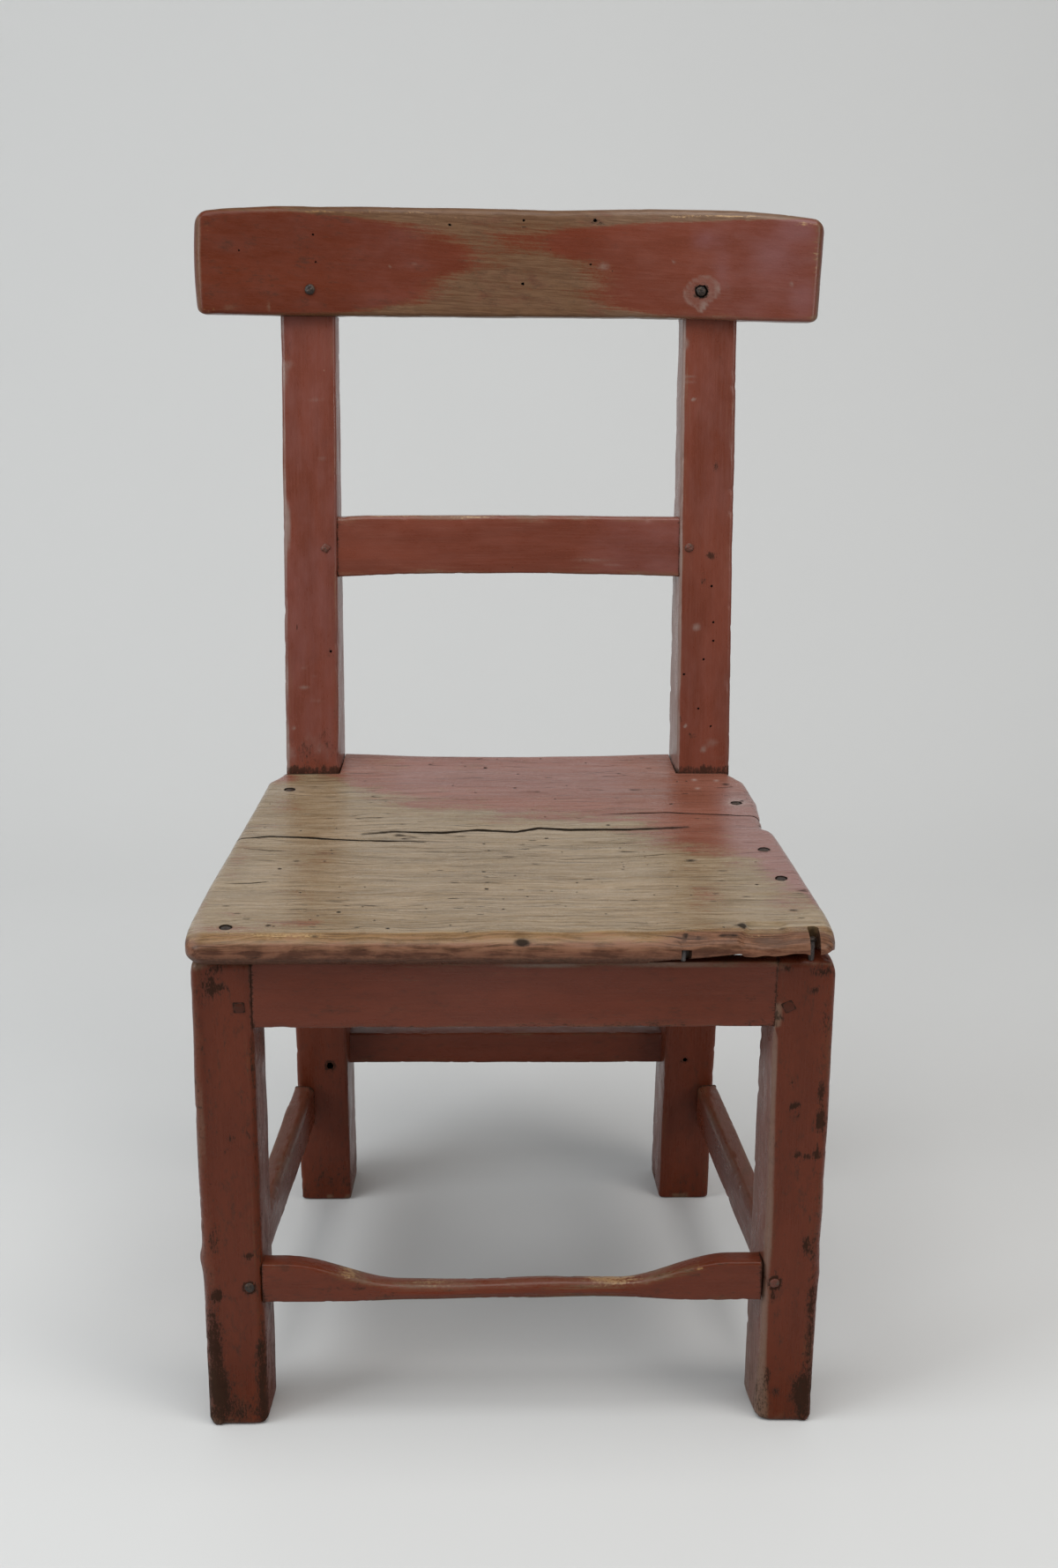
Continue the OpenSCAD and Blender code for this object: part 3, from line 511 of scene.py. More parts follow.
POST_PALE = {
    -1: [
        (-187, 349, 7, 5, 0.5), (-189, 339, 3, 9, 0.45), (-163, 320, 12, 1.6, 0.5), (-159, 270, 5, 1.8, 0.6),
        (-176.5, 74, 6, 2.4, 0.7), (-168, 84, 4, 2.2, 0.4), (-176, 91, 4, 2.2, 0.4),
        (-165, 62.6, 8, 2.4, 0.4), (-172, 26, 14, 12, 0.3), (-189.5, 222, 2.6, 12, 0.9),
        (-189, 205, 2.6, 14, 0.8), (-186, 39, 1.6, 1.6, 1.2),
    ],
    1: [
        (157, 321, 1.6, 1.6, 1.4), (153, 340, 8, 1.4, 0.6), (153, 336, 8, 1.4, 0.5),
        (162.5, 127, 4, 3.5, 0.8), (154, 41, 1.6, 1.6, 1.4), (170, 20, 3, 3, 0.6), (178, 26, 7, 5, 0.5),
        (150, 368, 3, 5, 0.8),
    ],
}
# Open peg holes below the seat, as x, z and radius, and small holes, as x and the height along the rake
PEG_HOLES = {-1: (-161.0, 142.0, 2.9), 1: (164.0, 147.0, 1.9)}
POST_HOLES = {
    -1: [(-153.4, 105.5)],
    1: [(174.9, 162.5), (177.0, 131.3), (177.2, 115.2), (169.1, 99.1), (152.4, 86.0), (165.2, 56.0),
        (176.2, 40.5)],
}


def post_front(z):
    return DEPTH + POST_KICK * (1 - z / SEAT_TOP)


# Back posts: horizontal sections up to the seat, then square to the rake
def back_post(name, side, key):
    shoulder = SEAT_TOP + CREST_RISE
    tongue_top = SEAT_TOP + TONGUE_RISE
    left = side < 0

    def corners(s):
        up = s - SEAT_TOP
        turned = mix(1, math.cos(RAKE), np.clip(up / 20, 0, 1))
        above = mix(POST_DEPTH_SEAT, POST_DEPTH_TOP, np.clip(up / CREST_RISE, 0, 1)) * turned
        depth = np.where(up <= 0, mix(POST_DEPTH_FOOT, POST_DEPTH_SEAT, s / SEAT_TOP), above)
        back = depth * POST_SPLAY
        outer = mix(POST_OUTER_FOOT, POST_OUTER, np.clip(s / SEAT_TOP, 0, 1))
        inner = outer - POST_WIDTH
        # The tongue behind the crest rail is thinner, straight-sided and 1 mm clear on both sides
        tongue = np.where(s > shoulder + 0.01, 1.0, 0.0)
        front = tongue * (POST_DEPTH_TOP * math.cos(RAKE) - TONGUE_THICK)
        us = (inner + tongue, outer - tongue - tongue * POST_DEPTH_TOP * POST_SPLAY,
              outer - back - tongue, inner - back + tongue * back + tongue)
        return section(s, us, (front, front, depth, depth))

    def radii(s):
        return np.where(s > shoulder, 0.35, 1.0)[:, None] * [3.2, 3.8, 3.2, 3.0]

    def place(s, ring):
        lean = RAKE * smooth((s - 412) / 18)
        up = np.maximum(s - SEAT_TOP, 0)
        y = np.where(s <= SEAT_TOP, post_front(s), DEPTH + up * math.sin(RAKE))
        z = np.where(s <= SEAT_TOP, s, SEAT_TOP + up * math.cos(RAKE))
        depth = ring[..., 1]
        return np.stack([side * ring[..., 0], y[:, None] + depth * np.cos(lean)[:, None],
                         z[:, None] - depth * np.sin(lean)[:, None]], -1)

    def dress(points, normals, near, along):
        x, z = points[:, 0], points[:, 2]
        up = along - SEAT_TOP
        moved = old_surface(points, near, key)
        moved *= np.clip(np.abs(along - shoulder) / 5, 0.2, 1)
        front = smooth(-normals[:, 1] * 2)
        inner = smooth(-normals[:, 0] * side * 2) * (up > 0)
        low = smooth((60 - z) / 60)
        frayed = smooth((7.5 + 2.0 * noise(points, (3.5, 3.5, 30), key + 10) - up) / 5) * smooth((up + 6) / 4)
        hole_x, hole_z, hole = PEG_HOLES[side]
        from_hole = np.hypot(x - hole_x, z - hole_z)
        grime = 0.10 + 0.30 * low + 0.85 * frayed + blobs(x, up, POST_DIRT[side]) * front
        grime += 0.35 * smooth((405 - z) / 60) * smooth(0.3 + noise(points, 30, key + 17))
        grime += 0.8 * bell(from_hole, hole + 1.2, 1.6) * front
        # A painted highlight on the arrises above the seat that face the window
        lit = window_lit_arris(normals, near) * (0.6 + 0.7 * noise(points, (9, 9, 26), key + 12)) * (up > 0)
        pale = 0.45 * bell(up, 16, 9) * smooth(0.3 + 0.8 * noise(points, 8, key + 11))
        # The inner faces above the seat are made paler: a painted reflection, strongest on the right post
        pale += blobs(x, up, POST_PALE[side]) * front + 0.75 * lit + (0.10 if left else 0.55) * inner
        pale += 0.9 * smooth((9 - z) / 6) * smooth(0.3 + noise(points, 6, key + 18) * 2)
        # Faded paint and painted sheen, more on the left post
        fade = (0.37 if left else 0.12) * smooth((up + 5) / 20) + 0.15 * noise(points, (60, 60, 90), key + 13)
        # Painted shade below the seat and near the floor
        soot = 0.62 * smooth((430 - z) / 20) + 0.25 * low
        return moved, {"wear": arris_wear(points, near, key), "grime": grime, "soot": soot, "pale": pale,
                       "fade": fade}
    # Stations crowd at the bend above the seat and at the shoulder under the crest rail
    at = np.concatenate([
        [0, 0.6], np.arange(2.0, 405, STEP), np.arange(405, 436, 2.0), np.arange(437, shoulder - 3, STEP),
        [shoulder - 1.5, shoulder - 0.3, shoulder, shoulder + 0.02],
        np.arange(shoulder + 4, tongue_top - 2, 6.0), [tongue_top - 0.6, tongue_top],
    ])
    return timber(name, corners, radii, place, at, key, dress, end_ease=3.0)


posts = {-1: back_post("back_post_left", -1, 31), 1: back_post("back_post_right", 1, 47)}


# Rails that run across between the legs or the posts
def cross_rail(name, corners, radii, half, key, dress=plain_dress):
    timber(name, corners, radii, along_x(half), stations(2 * half), key, dress(key, 2 * half))


REAR_HALF = POST_OUTER - POST_WIDTH - 22 * POST_SPLAY + SINK
cross_rail("front_seat_rail", box(0, RAIL_LOW, 13, RAIL_TOP), same_radii(1.6, 1.4, 1.2, 1.0),
           LEG_INNER + SINK, 61, front_rail_dress)
cross_rail("rear_seat_rail", box(DEPTH + 22.5, RAIL_LOW, DEPTH + 42.5, RAIL_TOP),
           same_radii(1.2, 1.2, 1.2, 1.2), REAR_HALF, 67)
cross_rail("rear_stretcher", box(DEPTH + 26.5, 133, DEPTH + 46.5, 164), same_radii(2.5, 2.2, 2.2, 2.2),
           REAR_HALF - 1, 71)


# Rails that run back from a leg to a post, their outer faces on the line of the side
def side_rail(name, side, corners, radii, key, dress=plain_dress):
    cs, sn = math.cos(SIDE_TURN), math.sin(SIDE_TURN)
    length = (DEPTH - LEG_DEPTH) / cs + 2 * SINK
    start = [SIDE_FRONT_X + SINK * sn, LEG_DEPTH - SINK * cs, 0]
    base = straight(start, [-sn, cs, 0], [cs, sn, 0], [0, 0, 1])

    def place(s, ring):
        return base(s, ring) * [side, 1, 1]
    timber(name, corners, radii, place, stations(length), key, dress(key, length))


for name, corners, radii, keys, dress in (
    ("side_seat_rail_", box(-20, RAIL_LOW, 0, RAIL_TOP), same_radii(1.2, 1.2, 1.2, 1.2), (73, 79),
     plain_dress),
    ("side_stretcher_", box(-18, 86, 0, 124), same_radii(2.2, 2.2, 2.4, 6.0), (83, 89), side_stretcher_dress),
):
    for (side, tag), key in zip(SIDES, keys):
        side_rail(name + tag, side, corners, radii, key, dress)

# Places on the front stretcher rubbed to golden wood, at x and z
STRETCHER_RUBS = [
    (-122, 137, 14, 5, 0.6), (77, 130, 26, 5, 0.6), (147, 139, 5, 4, 0.8), (-60, 127, 30, 4, 0.35),
]


# Stretcher worn to a waist by feet
def front_stretcher(key=97):
    half = LEG_INNER + SINK
    length = 2 * half
    bottom = 112

    def corners(s):
        x = s - half
        ends = smooth((np.abs(x + 3) - 86) / 88)
        height = mix(14.0, 35.0, ends) + 0.6 * np.sin(x / 23.0) * (1 - ends)
        lift = mix(1.5, 0.0, ends) + 0.9 * np.sin(x / 61.0 + 0.5) * (1 - ends)
        y0, y1 = 1 + 0.4 * lift, 19 - lift
        z0, z1 = bottom + lift - 0.8 * (1 - ends), bottom + lift + height
        return section(s, (y0, y1, y1, y0), (z0, z0, z1, z1))

    def radii(s):
        ends = smooth((np.abs(s - half + 3) - 70) / 80)[:, None]
        return mix(np.array([5.6, 5.6, 6.2, 6.2]), np.array([2.2, 2.2, 3.2, 3.2]), ends)

    def dress(points, normals, near, along):
        moved, made = plain_dress(key, length)(points, normals, near, along)
        x, z = points[:, 0], points[:, 2]
        up = normals[:, 2]
        top = smooth(up * 1.5) * smooth((150 - np.abs(x + 5)) / 40)
        under = smooth((-up - 0.1) * 2) * smooth((130 - np.abs(x)) / 30)
        lip = bell(up, -0.55, 0.25) * smooth(-normals[:, 1] * 3) * smooth((120 - np.abs(x)) / 40)
        streak = 0.5 + 0.5 * noise(points, (30, 6, 5), key + 5)
        shoulders = (bell(x, -120, 28) + bell(x, 85, 35)) * smooth(up * 2)
        made["wear"] += 0.35 * top * streak + 0.35 * under + 0.45 * shoulders * streak
        # Painted shade underneath and painted light on the top faces
        made["soot"] += 0.40 * under - 0.25 * top
        made["golden"] = 1.5 * blobs(x, z, STRETCHER_RUBS) * smooth(up * 3) + 0.45 * lip
        # The top faces are paler: painted light
        made["pale"] = 0.35 * top * smooth(up * 2)
        made["grime"] += 0.16 + 0.25 * noise(points, (30, 12, 12), key + 6) * (1 - top)
        return moved * (1 - 0.4 * top), made
    timber("front_stretcher", corners, radii, along_x(half), stations(length), key, dress, arc=6)


front_stretcher()


def raked(x, b, up):
    """A point of the raked back: b behind the posts' front faces, up the rake above the seat."""
    return np.stack([x, DEPTH + up * math.sin(RAKE) + b * math.cos(RAKE),
                     SEAT_TOP + up * math.cos(RAKE) - b * math.sin(RAKE)], -1)


# Pale scrapes on the mid rail, at x and z
MID_RAIL_SCRAPES = [(68, 610, 20, 1.6, 0.5), (90, 606, 12, 1.4, 0.4)]


def mid_rail(key=101):
    half = POST_OUTER - POST_WIDTH - 6 * POST_SPLAY + SINK
    length = 2 * half

    def corners(s):
        # Both edges are curved a little. They are heights along the rake above the seat
        x = s - half
        low = 170 + 2.6 * (1 - (x / half) ** 2) - 0.8 * smooth((-x - 90) / 60)
        top = 221.4 + 0.9 * np.sin((x + half) / length * np.pi) - 0.8 * smooth((-x - 120) / 25)
        return section(s, (3.0, 23.0, 23.0, 3.0), (low, low, top, top))

    def place(s, ring):
        return raked(across(s - half, ring), ring[..., 0], ring[..., 1])

    def dress(points, normals, near, along):
        moved, made = plain_dress(key, length)(points, normals, near, along)
        x, z = along - half, points[:, 2]
        face = smooth(-normals[:, 1] * 2)
        streak = 0.5 + 0.6 * noise(points, (35, 5, 3), key + 5)
        top = bell(z, 646.5, 2.2) * smooth((135 - np.abs(x + 5)) / 30)
        scrape = bell(x, 75, 32) * bell(z, 609, 3.5) * face
        made["wear"] += (0.45 * top + 0.3 * bell(z, 599, 2.6) + 0.38 * scrape) * streak
        # Faded paint and painted sheen on the right part of the face
        made["fade"] = 0.42 * smooth((x - 20) / 90) * face
        made["golden"] = 0.9 * top * streak * smooth((30 - x) / 60)
        made["pale"] = 0.45 * top * streak + blobs(x, z, MID_RAIL_SCRAPES) * face
        return moved, made
    timber("mid_rail", corners, same_radii(2.2, 2.2, 3.2, 3.6), place, stations(length), key, dress)


mid_rail()

# The crest rail's outline and marks, at x and the height along the rake, read off the photograph
CREST_TOP_LINE = [
    (-264, 473.0), (-254, 475.0), (-241, 476.3), (-197, 479.0), (-100, 479.4), (0, 478.3), (34, 477.4),
    (80, 478.3), (118, 478.8), (160, 478.3), (193, 477.4), (230, 474.3), (256, 471.0), (264, 469.5),
]
CREST_LOW_LINE = [
    (-264, 389.8), (-243, 389.8), (-193, 389.0), (100, 389.0), (150, 388.2), (191, 386.8), (230, 386.0),
    (264, 385.6),
]
CREST_PALE = [
    (79, 431, 6, 3.5, 0.7), (-202, 396, 1.6, 5, 0.9), (-235, 395, 6, 2.5, 0.6), (-100, 429.6, 1.6, 1.6, 0.9),
    (-80, 432, 1.6, 1.6, 0.9), (163, 398, 2.5, 4, 0.5), (236, 417, 1.8, 3, 0.8), (138, 434.5, 1.5, 1.5, 0.9),
    (-225, 395, 6, 1.5, 0.4), (60, 428, 14, 5, 0.25),
]
# Purple patches of painted sheen on the face, at x and the height along the rake
CREST_SHEEN = [
    (163, 453, 13, 7, 0.55), (240, 462, 12, 9, 0.6), (222, 440, 16, 16, 0.35), (178, 430, 6, 18, 0.25),
    (245, 405, 10, 16, 0.3),
]
CREST_DIRT = [
    (-165, 428, 18, 14, 0.2), (-180, 449, 3, 2, 0.5), (84, 466.5, 16, 2.6, 0.5), (72, 468.5, 4, 3, 0.9),
    (68, 433, 3, 3, 0.8), (-50.4, 464.5, 3.5, 3, 0.8), (129, 443, 3, 2.5, 0.35), (194, 474, 3, 3, 0.6),
    (-226, 442, 2, 2, 0.6), (11, 418, 3, 4, 0.5),
]
CREST_GOLD = [
    (-252, 464, 6, 10, 0.45), (-250, 393, 10, 5, 0.42), (244, 466, 12, 3.5, 0.55), (256, 440, 3, 36, 0.40),
    (70, 420, 20, 5, 0.15),
]
# Red paint left inside the bare middle, whose left and right limits are x at a height along the rake
CREST_RED = [(8, 452, 26, 8, 1.0), (50, 449, 15, 9, 1.9), (-50, 442, 20, 8, 0.7), (-14, 459, 14, 3, 0.5)]
BARE_LEFT = [
    (386, -150), (393, -130), (400, -78), (410, -68), (420, -60), (430, -34), (440, -40), (452, -62),
    (462, -76), (468, -112), (474, -160),
]
BARE_RIGHT = [
    (386, 150), (391, 120), (396, 88), (405, 80), (420, 84), (433, 78), (442, 50), (455, 46), (462, 58),
    (467, 120), (472, 262),
]
# Painted shade along the crest rail, as values at x, darker to the left
CREST_SHADE = [(-264, 0.80), (-150, 0.74), (-80, 0.42), (-40, 0.50), (60, 0.50), (100, 0.06), (264, 0.06)]
# Worm holes, as x, height and radius, and the bare right nail
CREST_HOLES = [
    (11.0, 416.5, 1.2), (71.4, 468.9, 1.3), (-50.4, 464.5, 1.1), (-164.2, 455.6, 0.9), (-162.3, 433.3, 0.8),
    (68.0, 432.8, 0.9), (-225.6, 442.0, 0.8), (11.6, 468.6, 1.1),
]
NAIL_BARE = (161.0, 411.0)


def crest_bow(x):
    """How far the crest rail's front face lies behind the posts' front faces."""
    return 13.0 * ((170.25 / CREST_HALF) ** 2 - (x / CREST_HALF) ** 2) - 12.0


# Crest rail: hollow along its length, its ends rounded over
def crest_rail(key=113):
    length = 2 * CREST_HALF

    def corners(s):
        x = s - CREST_HALF
        gap = np.minimum(s, length - s)
        thin = 4.2 * (1 - np.clip(gap / 5.6, 0, 1)) + 8.6 * quarter(gap, 5.6)
        front = crest_bow(x) + thin
        back = crest_bow(x) + CREST_THICK - 0.8 * thin
        low = curve(x, CREST_LOW_LINE) + 7.0 * quarter(gap, 7.0)
        high = curve(x, CREST_TOP_LINE) - 10.0 * quarter(gap, 10.0)
        return section(s, (front, back, back, front), (low, low, high, high))

    def radii(s):
        gap = np.minimum(s, length - s)
        return mix(0.35, 1.0, smooth((gap + 1) / 7))[:, None] * [4.0, 4.5, 6.0, 6.5]

    def place(s, ring):
        x = across(s - CREST_HALF, ring)
        up = ring[..., 1]
        bulge = np.where(x < 0, 2.4 * ((up - 437) / 45) ** 2, 0.055 * np.clip(460 - up, 0, 90))
        x = x - np.sign(x) * smooth((np.abs(x) - 215) / 45) * bulge
        return raked(x, ring[..., 0], up)

    def dress(points, normals, near, along):
        x = points[:, 0]
        up = (points[:, 2] - SEAT_TOP) * math.cos(RAKE) + (points[:, 1] - DEPTH) * math.sin(RAKE)
        from_end = np.minimum(along, length - along)
        moved = 0.7 * old_surface(points, near, key, nick=0.7) * np.clip(from_end / 9, 0.1, 1)
        face = smooth(-normals[:, 1] * 2.2)
        behind = smooth((normals[:, 1] - 0.2) * 2)
        ends = smooth((np.abs(x) - 256) / 3)
        # Worn bare in the middle, along the top and bottom and at the ends
        left, right = curve(up, BARE_LEFT), curve(up, BARE_RIGHT)
        middle = smooth(0.5 + (x - left) / 90) * smooth(0.5 + (right - x) / 75)
        low_band = smooth((393 - up) / 4) * (0.45 + 0.5 * smooth((-x - 20) / 60) * smooth((x + 230) / 40))
        wear = face * np.maximum(0.95 * middle - 0.42 * blobs(x, up, CREST_RED), 0)
        wear += 0.85 * smooth((up - 469) / 5) * smooth((x + 175) / 60)
        wear += 0.55 * smooth((up - 471.5) / 4) * smooth((-x - 90) / 60)
        wear += 0.30 * ends + 0.55 * low_band + 0.22 * near + (1 - face) * 0.25 * near
        wear += 0.10 * noise(points, 30, key + 8) + 0.35 * smooth((x - 251) / 3)
        wear -= 0.4 * smooth((np.abs(x) - 259) / 3)
        # The halo rubbed round the bare nail, longer underneath
        nail_x, nail_up = NAIL_BARE
        span = np.hypot(x - nail_x, up - nail_up)
        angle = np.arctan2(up - nail_up, x - nail_x)
        halo_edge = 16.0 + 1.6 * np.sin(2 * angle + 0.6) + 5.0 * bell(angle, -1.62, 0.2)
        halo = face * smooth((halo_edge - span) / 3.6)
        rim = bell(halo_edge - span, 2.5, 2.0) * halo
        lobe = face * smooth((10 - np.hypot(x - 181, (up - 410) * 0.75)) / 4)
        wear += 0.12 * halo
        pale = 0.34 * halo + 0.26 * rim + 0.20 * lobe + face * blobs(x, up, CREST_PALE)
        # A painted highlight along the left end
        pale += 0.7 * smooth((-x - 256) / 2) * smooth((262.5 + x) / 1.5)
        # Faded paint and painted sheen, more to the right and at the left, with the purple patches; the end
        # faces get painted sheen too
        fade = 0.40 * smooth((x - 105) / 110) + 0.36 * smooth((-x - 40) / 60) + blobs(x, up, CREST_SHEEN)
        grime = 0.4 * behind * (0.5 + 0.5 * noise(points, 40, key + 9))
        grime += face * (blobs(x, up, CREST_DIRT) + bell(span, 5.8, 1.8))
        # A golden line along the top arris, worn wood with a painted highlight, rubbed away in places
        shown = 1 - 0.8 * smooth((x + 90) / 40) * smooth((90 - x) / 30)
        shown *= smooth((x + 200) / 14) * smooth((215 - x) / 14)
        rubbed_and_lit = smooth(0.55 + 1.1 * noise(points, (22, 8, 8), key + 12))
        golden = 0.85 * bell(up, np.where(x < -70, 474.6, 472.6), 1.1) * shown * rubbed_and_lit
        golden += 0.40 * bell(up, 467, 5) * bell(x, -62, 30) + face * blobs(x, up, CREST_GOLD)
        # Painted shade, darker to the left and on the right end
        soot = curve(x, CREST_SHADE) + 0.55 * smooth((x - 256) / 4)
        return moved, {"wear": wear, "grime": grime, "fade": 0.30 * ends + face * fade, "pale": pale,
                       "golden": golden, "soot": soot}
    first = np.array([0, 0.25, 0.8, 1.6, 2.7, 4.2, 6.0, 8.0])
    at = np.concatenate([first, np.arange(10, length - 9.5, STEP), length - first[::-1]])
    return timber("crest_rail", corners, radii, place, at, key, dress, arc=7, end_ease=0.01, tilt=0.06)


crest = crest_rail()

# Seat plank: two height fields over its plan, joined by a worn edge, then cut for posts, nails and shakes
SEAT_FRONT = -14.0
SEAT_BACK = 387.0
SEAT_HALF_FRONT = 240.1
SEAT_SIDE_SLOPE = 0.1125
CORNER_ROUND = 17.0
WANE_X = 103.1
WANE_TURN = math.radians(11.6)
WANE_SLOPE = math.tan(math.radians(26.0))
EDGE_ROWS = 4
PAST_EDGE = 260

# How far the plan's edges depart from straight, at y, the right one with its chewed notch
LEFT_STANDS_OUT = [(-14, 3.8), (25, 4.8), (90, 6.0), (205, 4.6), (280, 3.8), (330, 4.5), (387, 5.0)]
RIGHT_CHEWED = [
    (178, 0), (200, 0.6), (206, 2), (211, 6.5), (217, 6.8), (226, 5.0), (233, 5.5), (240, 3), (256, 1),
    (272, 0),
]


def seat_side(y, side):
    """Half width of the plan at y, on one side."""
    line = SEAT_HALF_FRONT - SEAT_SIDE_SLOPE * (y - SEAT_FRONT)
    line -= np.clip((y - 320) * 0.47, 0, 8.0)
    if side > 0:
        line = line - curve(y, RIGHT_CHEWED) - 2.0 * smooth((40 - y) / 50) + 1.5 * smooth((y - 255) / 20)
    else:
        line += curve(y, LEFT_STANDS_OUT)
    into = np.clip(y - SEAT_FRONT, 0, CORNER_ROUND)
    return line - (CORNER_ROUND - np.sqrt(np.maximum(CORNER_ROUND ** 2 - (CORNER_ROUND - into) ** 2, 0)))


def wane_height(x, y):
    """Height of the log's natural round under the right front corner."""
    out = (x - WANE_X) * math.sin(WANE_TURN) - y * math.cos(WANE_TURN)
    ripple = 1.1 * noise(np.stack([x, y, 0 * x], -1), (38, 12, 10), 140)
    return RAIL_TOP + (out + ripple) * WANE_SLOPE


def spread(low, high, step, edges):
    """Values from low to high, with extra ones near both ends."""
    first, start = np.array(edges[:-1]), edges[-1]
    inner = np.linspace(low + start, high - start, int(round((high - low - 2 * start) / step)) + 1)
    return np.concatenate([low + first, inner, high - first[::-1]])


def edge_gap(places, near_edge, edge):
    """Distance in plan from each place that is near the edge to the edge's line, and 99 elsewhere."""
    gap = np.full(len(places), 99.0)
    start = edge[:-1]
    run = edge[1:] - start
    picked = np.nonzero(near_edge)[0]
    for chunk in np.array_split(picked, max(1, len(picked) // 4000)):
        q = places[chunk][:, None] - start[None]
        f = np.clip((q * run).sum(-1) / (run * run).sum(-1), 0, 1)
        gap[chunk] = np.sqrt(((q - f[..., None] * run) ** 2).sum(-1)).min(1)
    return gap


def seat_base(key=131):
    step = 2.0
    ys = spread(SEAT_FRONT, SEAT_BACK, step, [0, 0.25, 0.8, 1.6, 2.6, 3.8, 5.2, 6.8, 8.6, 10.6, 12.8, 15.0])
    t = spread(0.0, 470.0, step, [0, 0.3, 0.9, 1.8, 3.0, 4.5, 6.2, 8.0]) / 470.0
    rows, cols = len(ys), len(t)
    index = np.arange(rows * cols).reshape(rows, cols)
    rim = np.concatenate([index[0], index[1:, -1], index[-1, -2::-1], index[-2:0:-1, 0]])
    left, right = -seat_side(ys, -1), seat_side(ys, 1)
    x = left[:, None] + (right - left)[:, None] * t[None]
    y0 = np.repeat(ys[:, None], cols, 1)
    # The back edge is a little hollow in plan
    y = y0 - 8.0 * np.clip(1 - (x / 150) ** 2, 0, 1) * smooth((y0 - 320) / 60)
    plan = np.stack([x, y, 0 * x], -1)
    flat = plan.reshape(-1, 3)[:, :2]
    near_edge = (y0 < 6) | (y0 > SEAT_BACK - 22) | (t[None] < 0.05) | (t[None] > 0.95)
    gap = edge_gap(flat, near_edge.ravel(), flat[np.append(rim, rim[0])]).reshape(rows, cols)
    # The top and the underside are rounded over at the edge, most at the front
    front = smooth((14 - y) / 22)
    rear = smooth((y - 340) / 30)
    top_round = mix(mix(5.5, 9.5, front), 4.0, rear) * quarter(gap, mix(mix(7.0, 17.0, front), 5.0, rear))
    low_round = mix(4.0, 12.0, front) * quarter(gap, mix(3.0, 15.0, front))
    rough = 0.5 * noise(plan, (60, 25, 9), key) + 0.22 * noise(plan, (26, 8, 9), key + 1)
    rough += 0.10 * noise(plan, (30, 2.6, 9), key + 2)
    dish = 1.3 * np.exp(-((x / 150) ** 2 + ((y - 150) / 110) ** 2))
    grain_lines = 0.16 * noise(plan, (70, 1.7, 9), key + 5) + 0.10 * noise(plan, (24, 1.1, 9), key + 6)
    chewed = 1.4 * noise(plan, (24, 9, 9), key + 3) + 0.9 * noise(plan, (9, 6, 9), key + 4)
    chewed = front * np.clip(1 - gap / 14, 0, 1) * chewed * (1 + (x > 120))
    top = SEAT_TOP - top_round - 0.55 - rough - dish - grain_lines * np.clip(gap / 5, 0.3, 1)
    top += np.minimum(chewed, 0.3)
    # A layer of the wood has broken off in front of a curved step near the right corner
    step_line = 168 + 3.5 * np.sin(y / 6.0)
    top -= 1.8 * smooth((x - step_line) / 2.2) * smooth((17 - y) / 3) * smooth((206 - x) / 12)
    # The back edge curls up
    top = np.minimum(top, SEAT_TOP - 0.02) + 2.6 * smooth((y - 345) / 45)
    low = np.maximum(RAIL_TOP + low_round, np.where((x > WANE_X - 6) & (y < 60), wane_height(x, y), 0))
    low = np.minimum(low, top - 2.5)
    tops = np.stack([x, y, top], -1).reshape(-1, 3)
    lows = np.stack([x, y, low], -1).reshape(-1, 3)
    # Rows of points down the edge, between the two fields
    around = len(rim)
    tall = np.clip((tops[rim, 2] - lows[rim, 2] - 4) / 6, 0, 1)
    walls = []
    for row in range(1, EDGE_ROWS):
        wall = mix(tops[rim], lows[rim], row / EDGE_ROWS)
        wall_x = wall[:, 0]
        out_x = np.sign(wall_x) * (np.abs(wall_x) > 150)
        out = np.stack([out_x, np.where(wall[:, 1] < 0, -1.0, 0.0), 0 * wall_x], -1)
        walls.append(wall - out * (tall * (0.1 + 0.09 * noise(wall, (12, 12, 3), key + 9)))[:, None])
    points = np.concatenate([tops, lows] + walls)
    lower = index + rows * cols
    faces = [np.stack([index[:-1, :-1], index[:-1, 1:], index[1:, 1:], index[1:, :-1]], -1).reshape(-1, 4),
             np.stack([lower[:-1, :-1], lower[1:, :-1], lower[1:, 1:], lower[:-1, 1:]], -1).reshape(-1, 4)]
    chain = [2 * rows * cols + row * around + np.arange(around) for row in range(EDGE_ROWS - 1)]
    chain = [rim] + chain + [rim + rows * cols]
    for upper, under in zip(chain[:-1], chain[1:]):
        faces.append(np.stack([upper, under, np.roll(under, -1), np.roll(upper, -1)], 1))
    return points, outward(points, np.concatenate(faces).tolist())


# Dirt, stains left in the bare wood and pale rubs on the seat, at x and y, read off the photograph
SEAT_DIRT = [
    (-182, 12, 3.5, 4, 0.9), (169, 8, 2.5, 9, 0.8), (186, 17, 14, 2.5, 0.5), (120, -9, 10, 3, 0.5),
    (60, -11, 8, 2, 0.5), (-60, -11, 12, 2, 0.5), (-120, -10, 9, 2, 0.5), (200, -6, 14, 3, 0.6),
    (-230, 40, 3, 12, 0.4), (-147, -5, 5, 3, 0.8), (5, -10, 7, 4, 1.1), (88, 80, 6, 3, 0.7),
    (80, 85, 4, 3, 0.6), (141, 140, 7, 4.5, 0.9), (187, 311, 6, 5, 0.8), (119, 373, 5, 3, 0.8),
    (83, 367, 4, 3, 0.7), (101, 333, 5, 3, 0.7), (125, -4, 3, 3, 1.0), (134.5, -6, 3, 3, 0.8),
    (152, -5, 5, 3, 0.9), (161, -5, 5, 3, 0.9), (166, 11, 9, 4, 0.8), (210, 39, 6, 3.5, 0.9),
    (198, 8, 6, 4, 0.8), (-41, 365, 6, 2.5, 0.7), (-217, 48, 5, 2.5, 0.8), (-199, 24, 6, 2.5, 0.8),
    (-170, 139, 5, 3, 0.8), (222, 150, 3, 6, 0.3), (150, 120, 12, 8, 0.25),
]
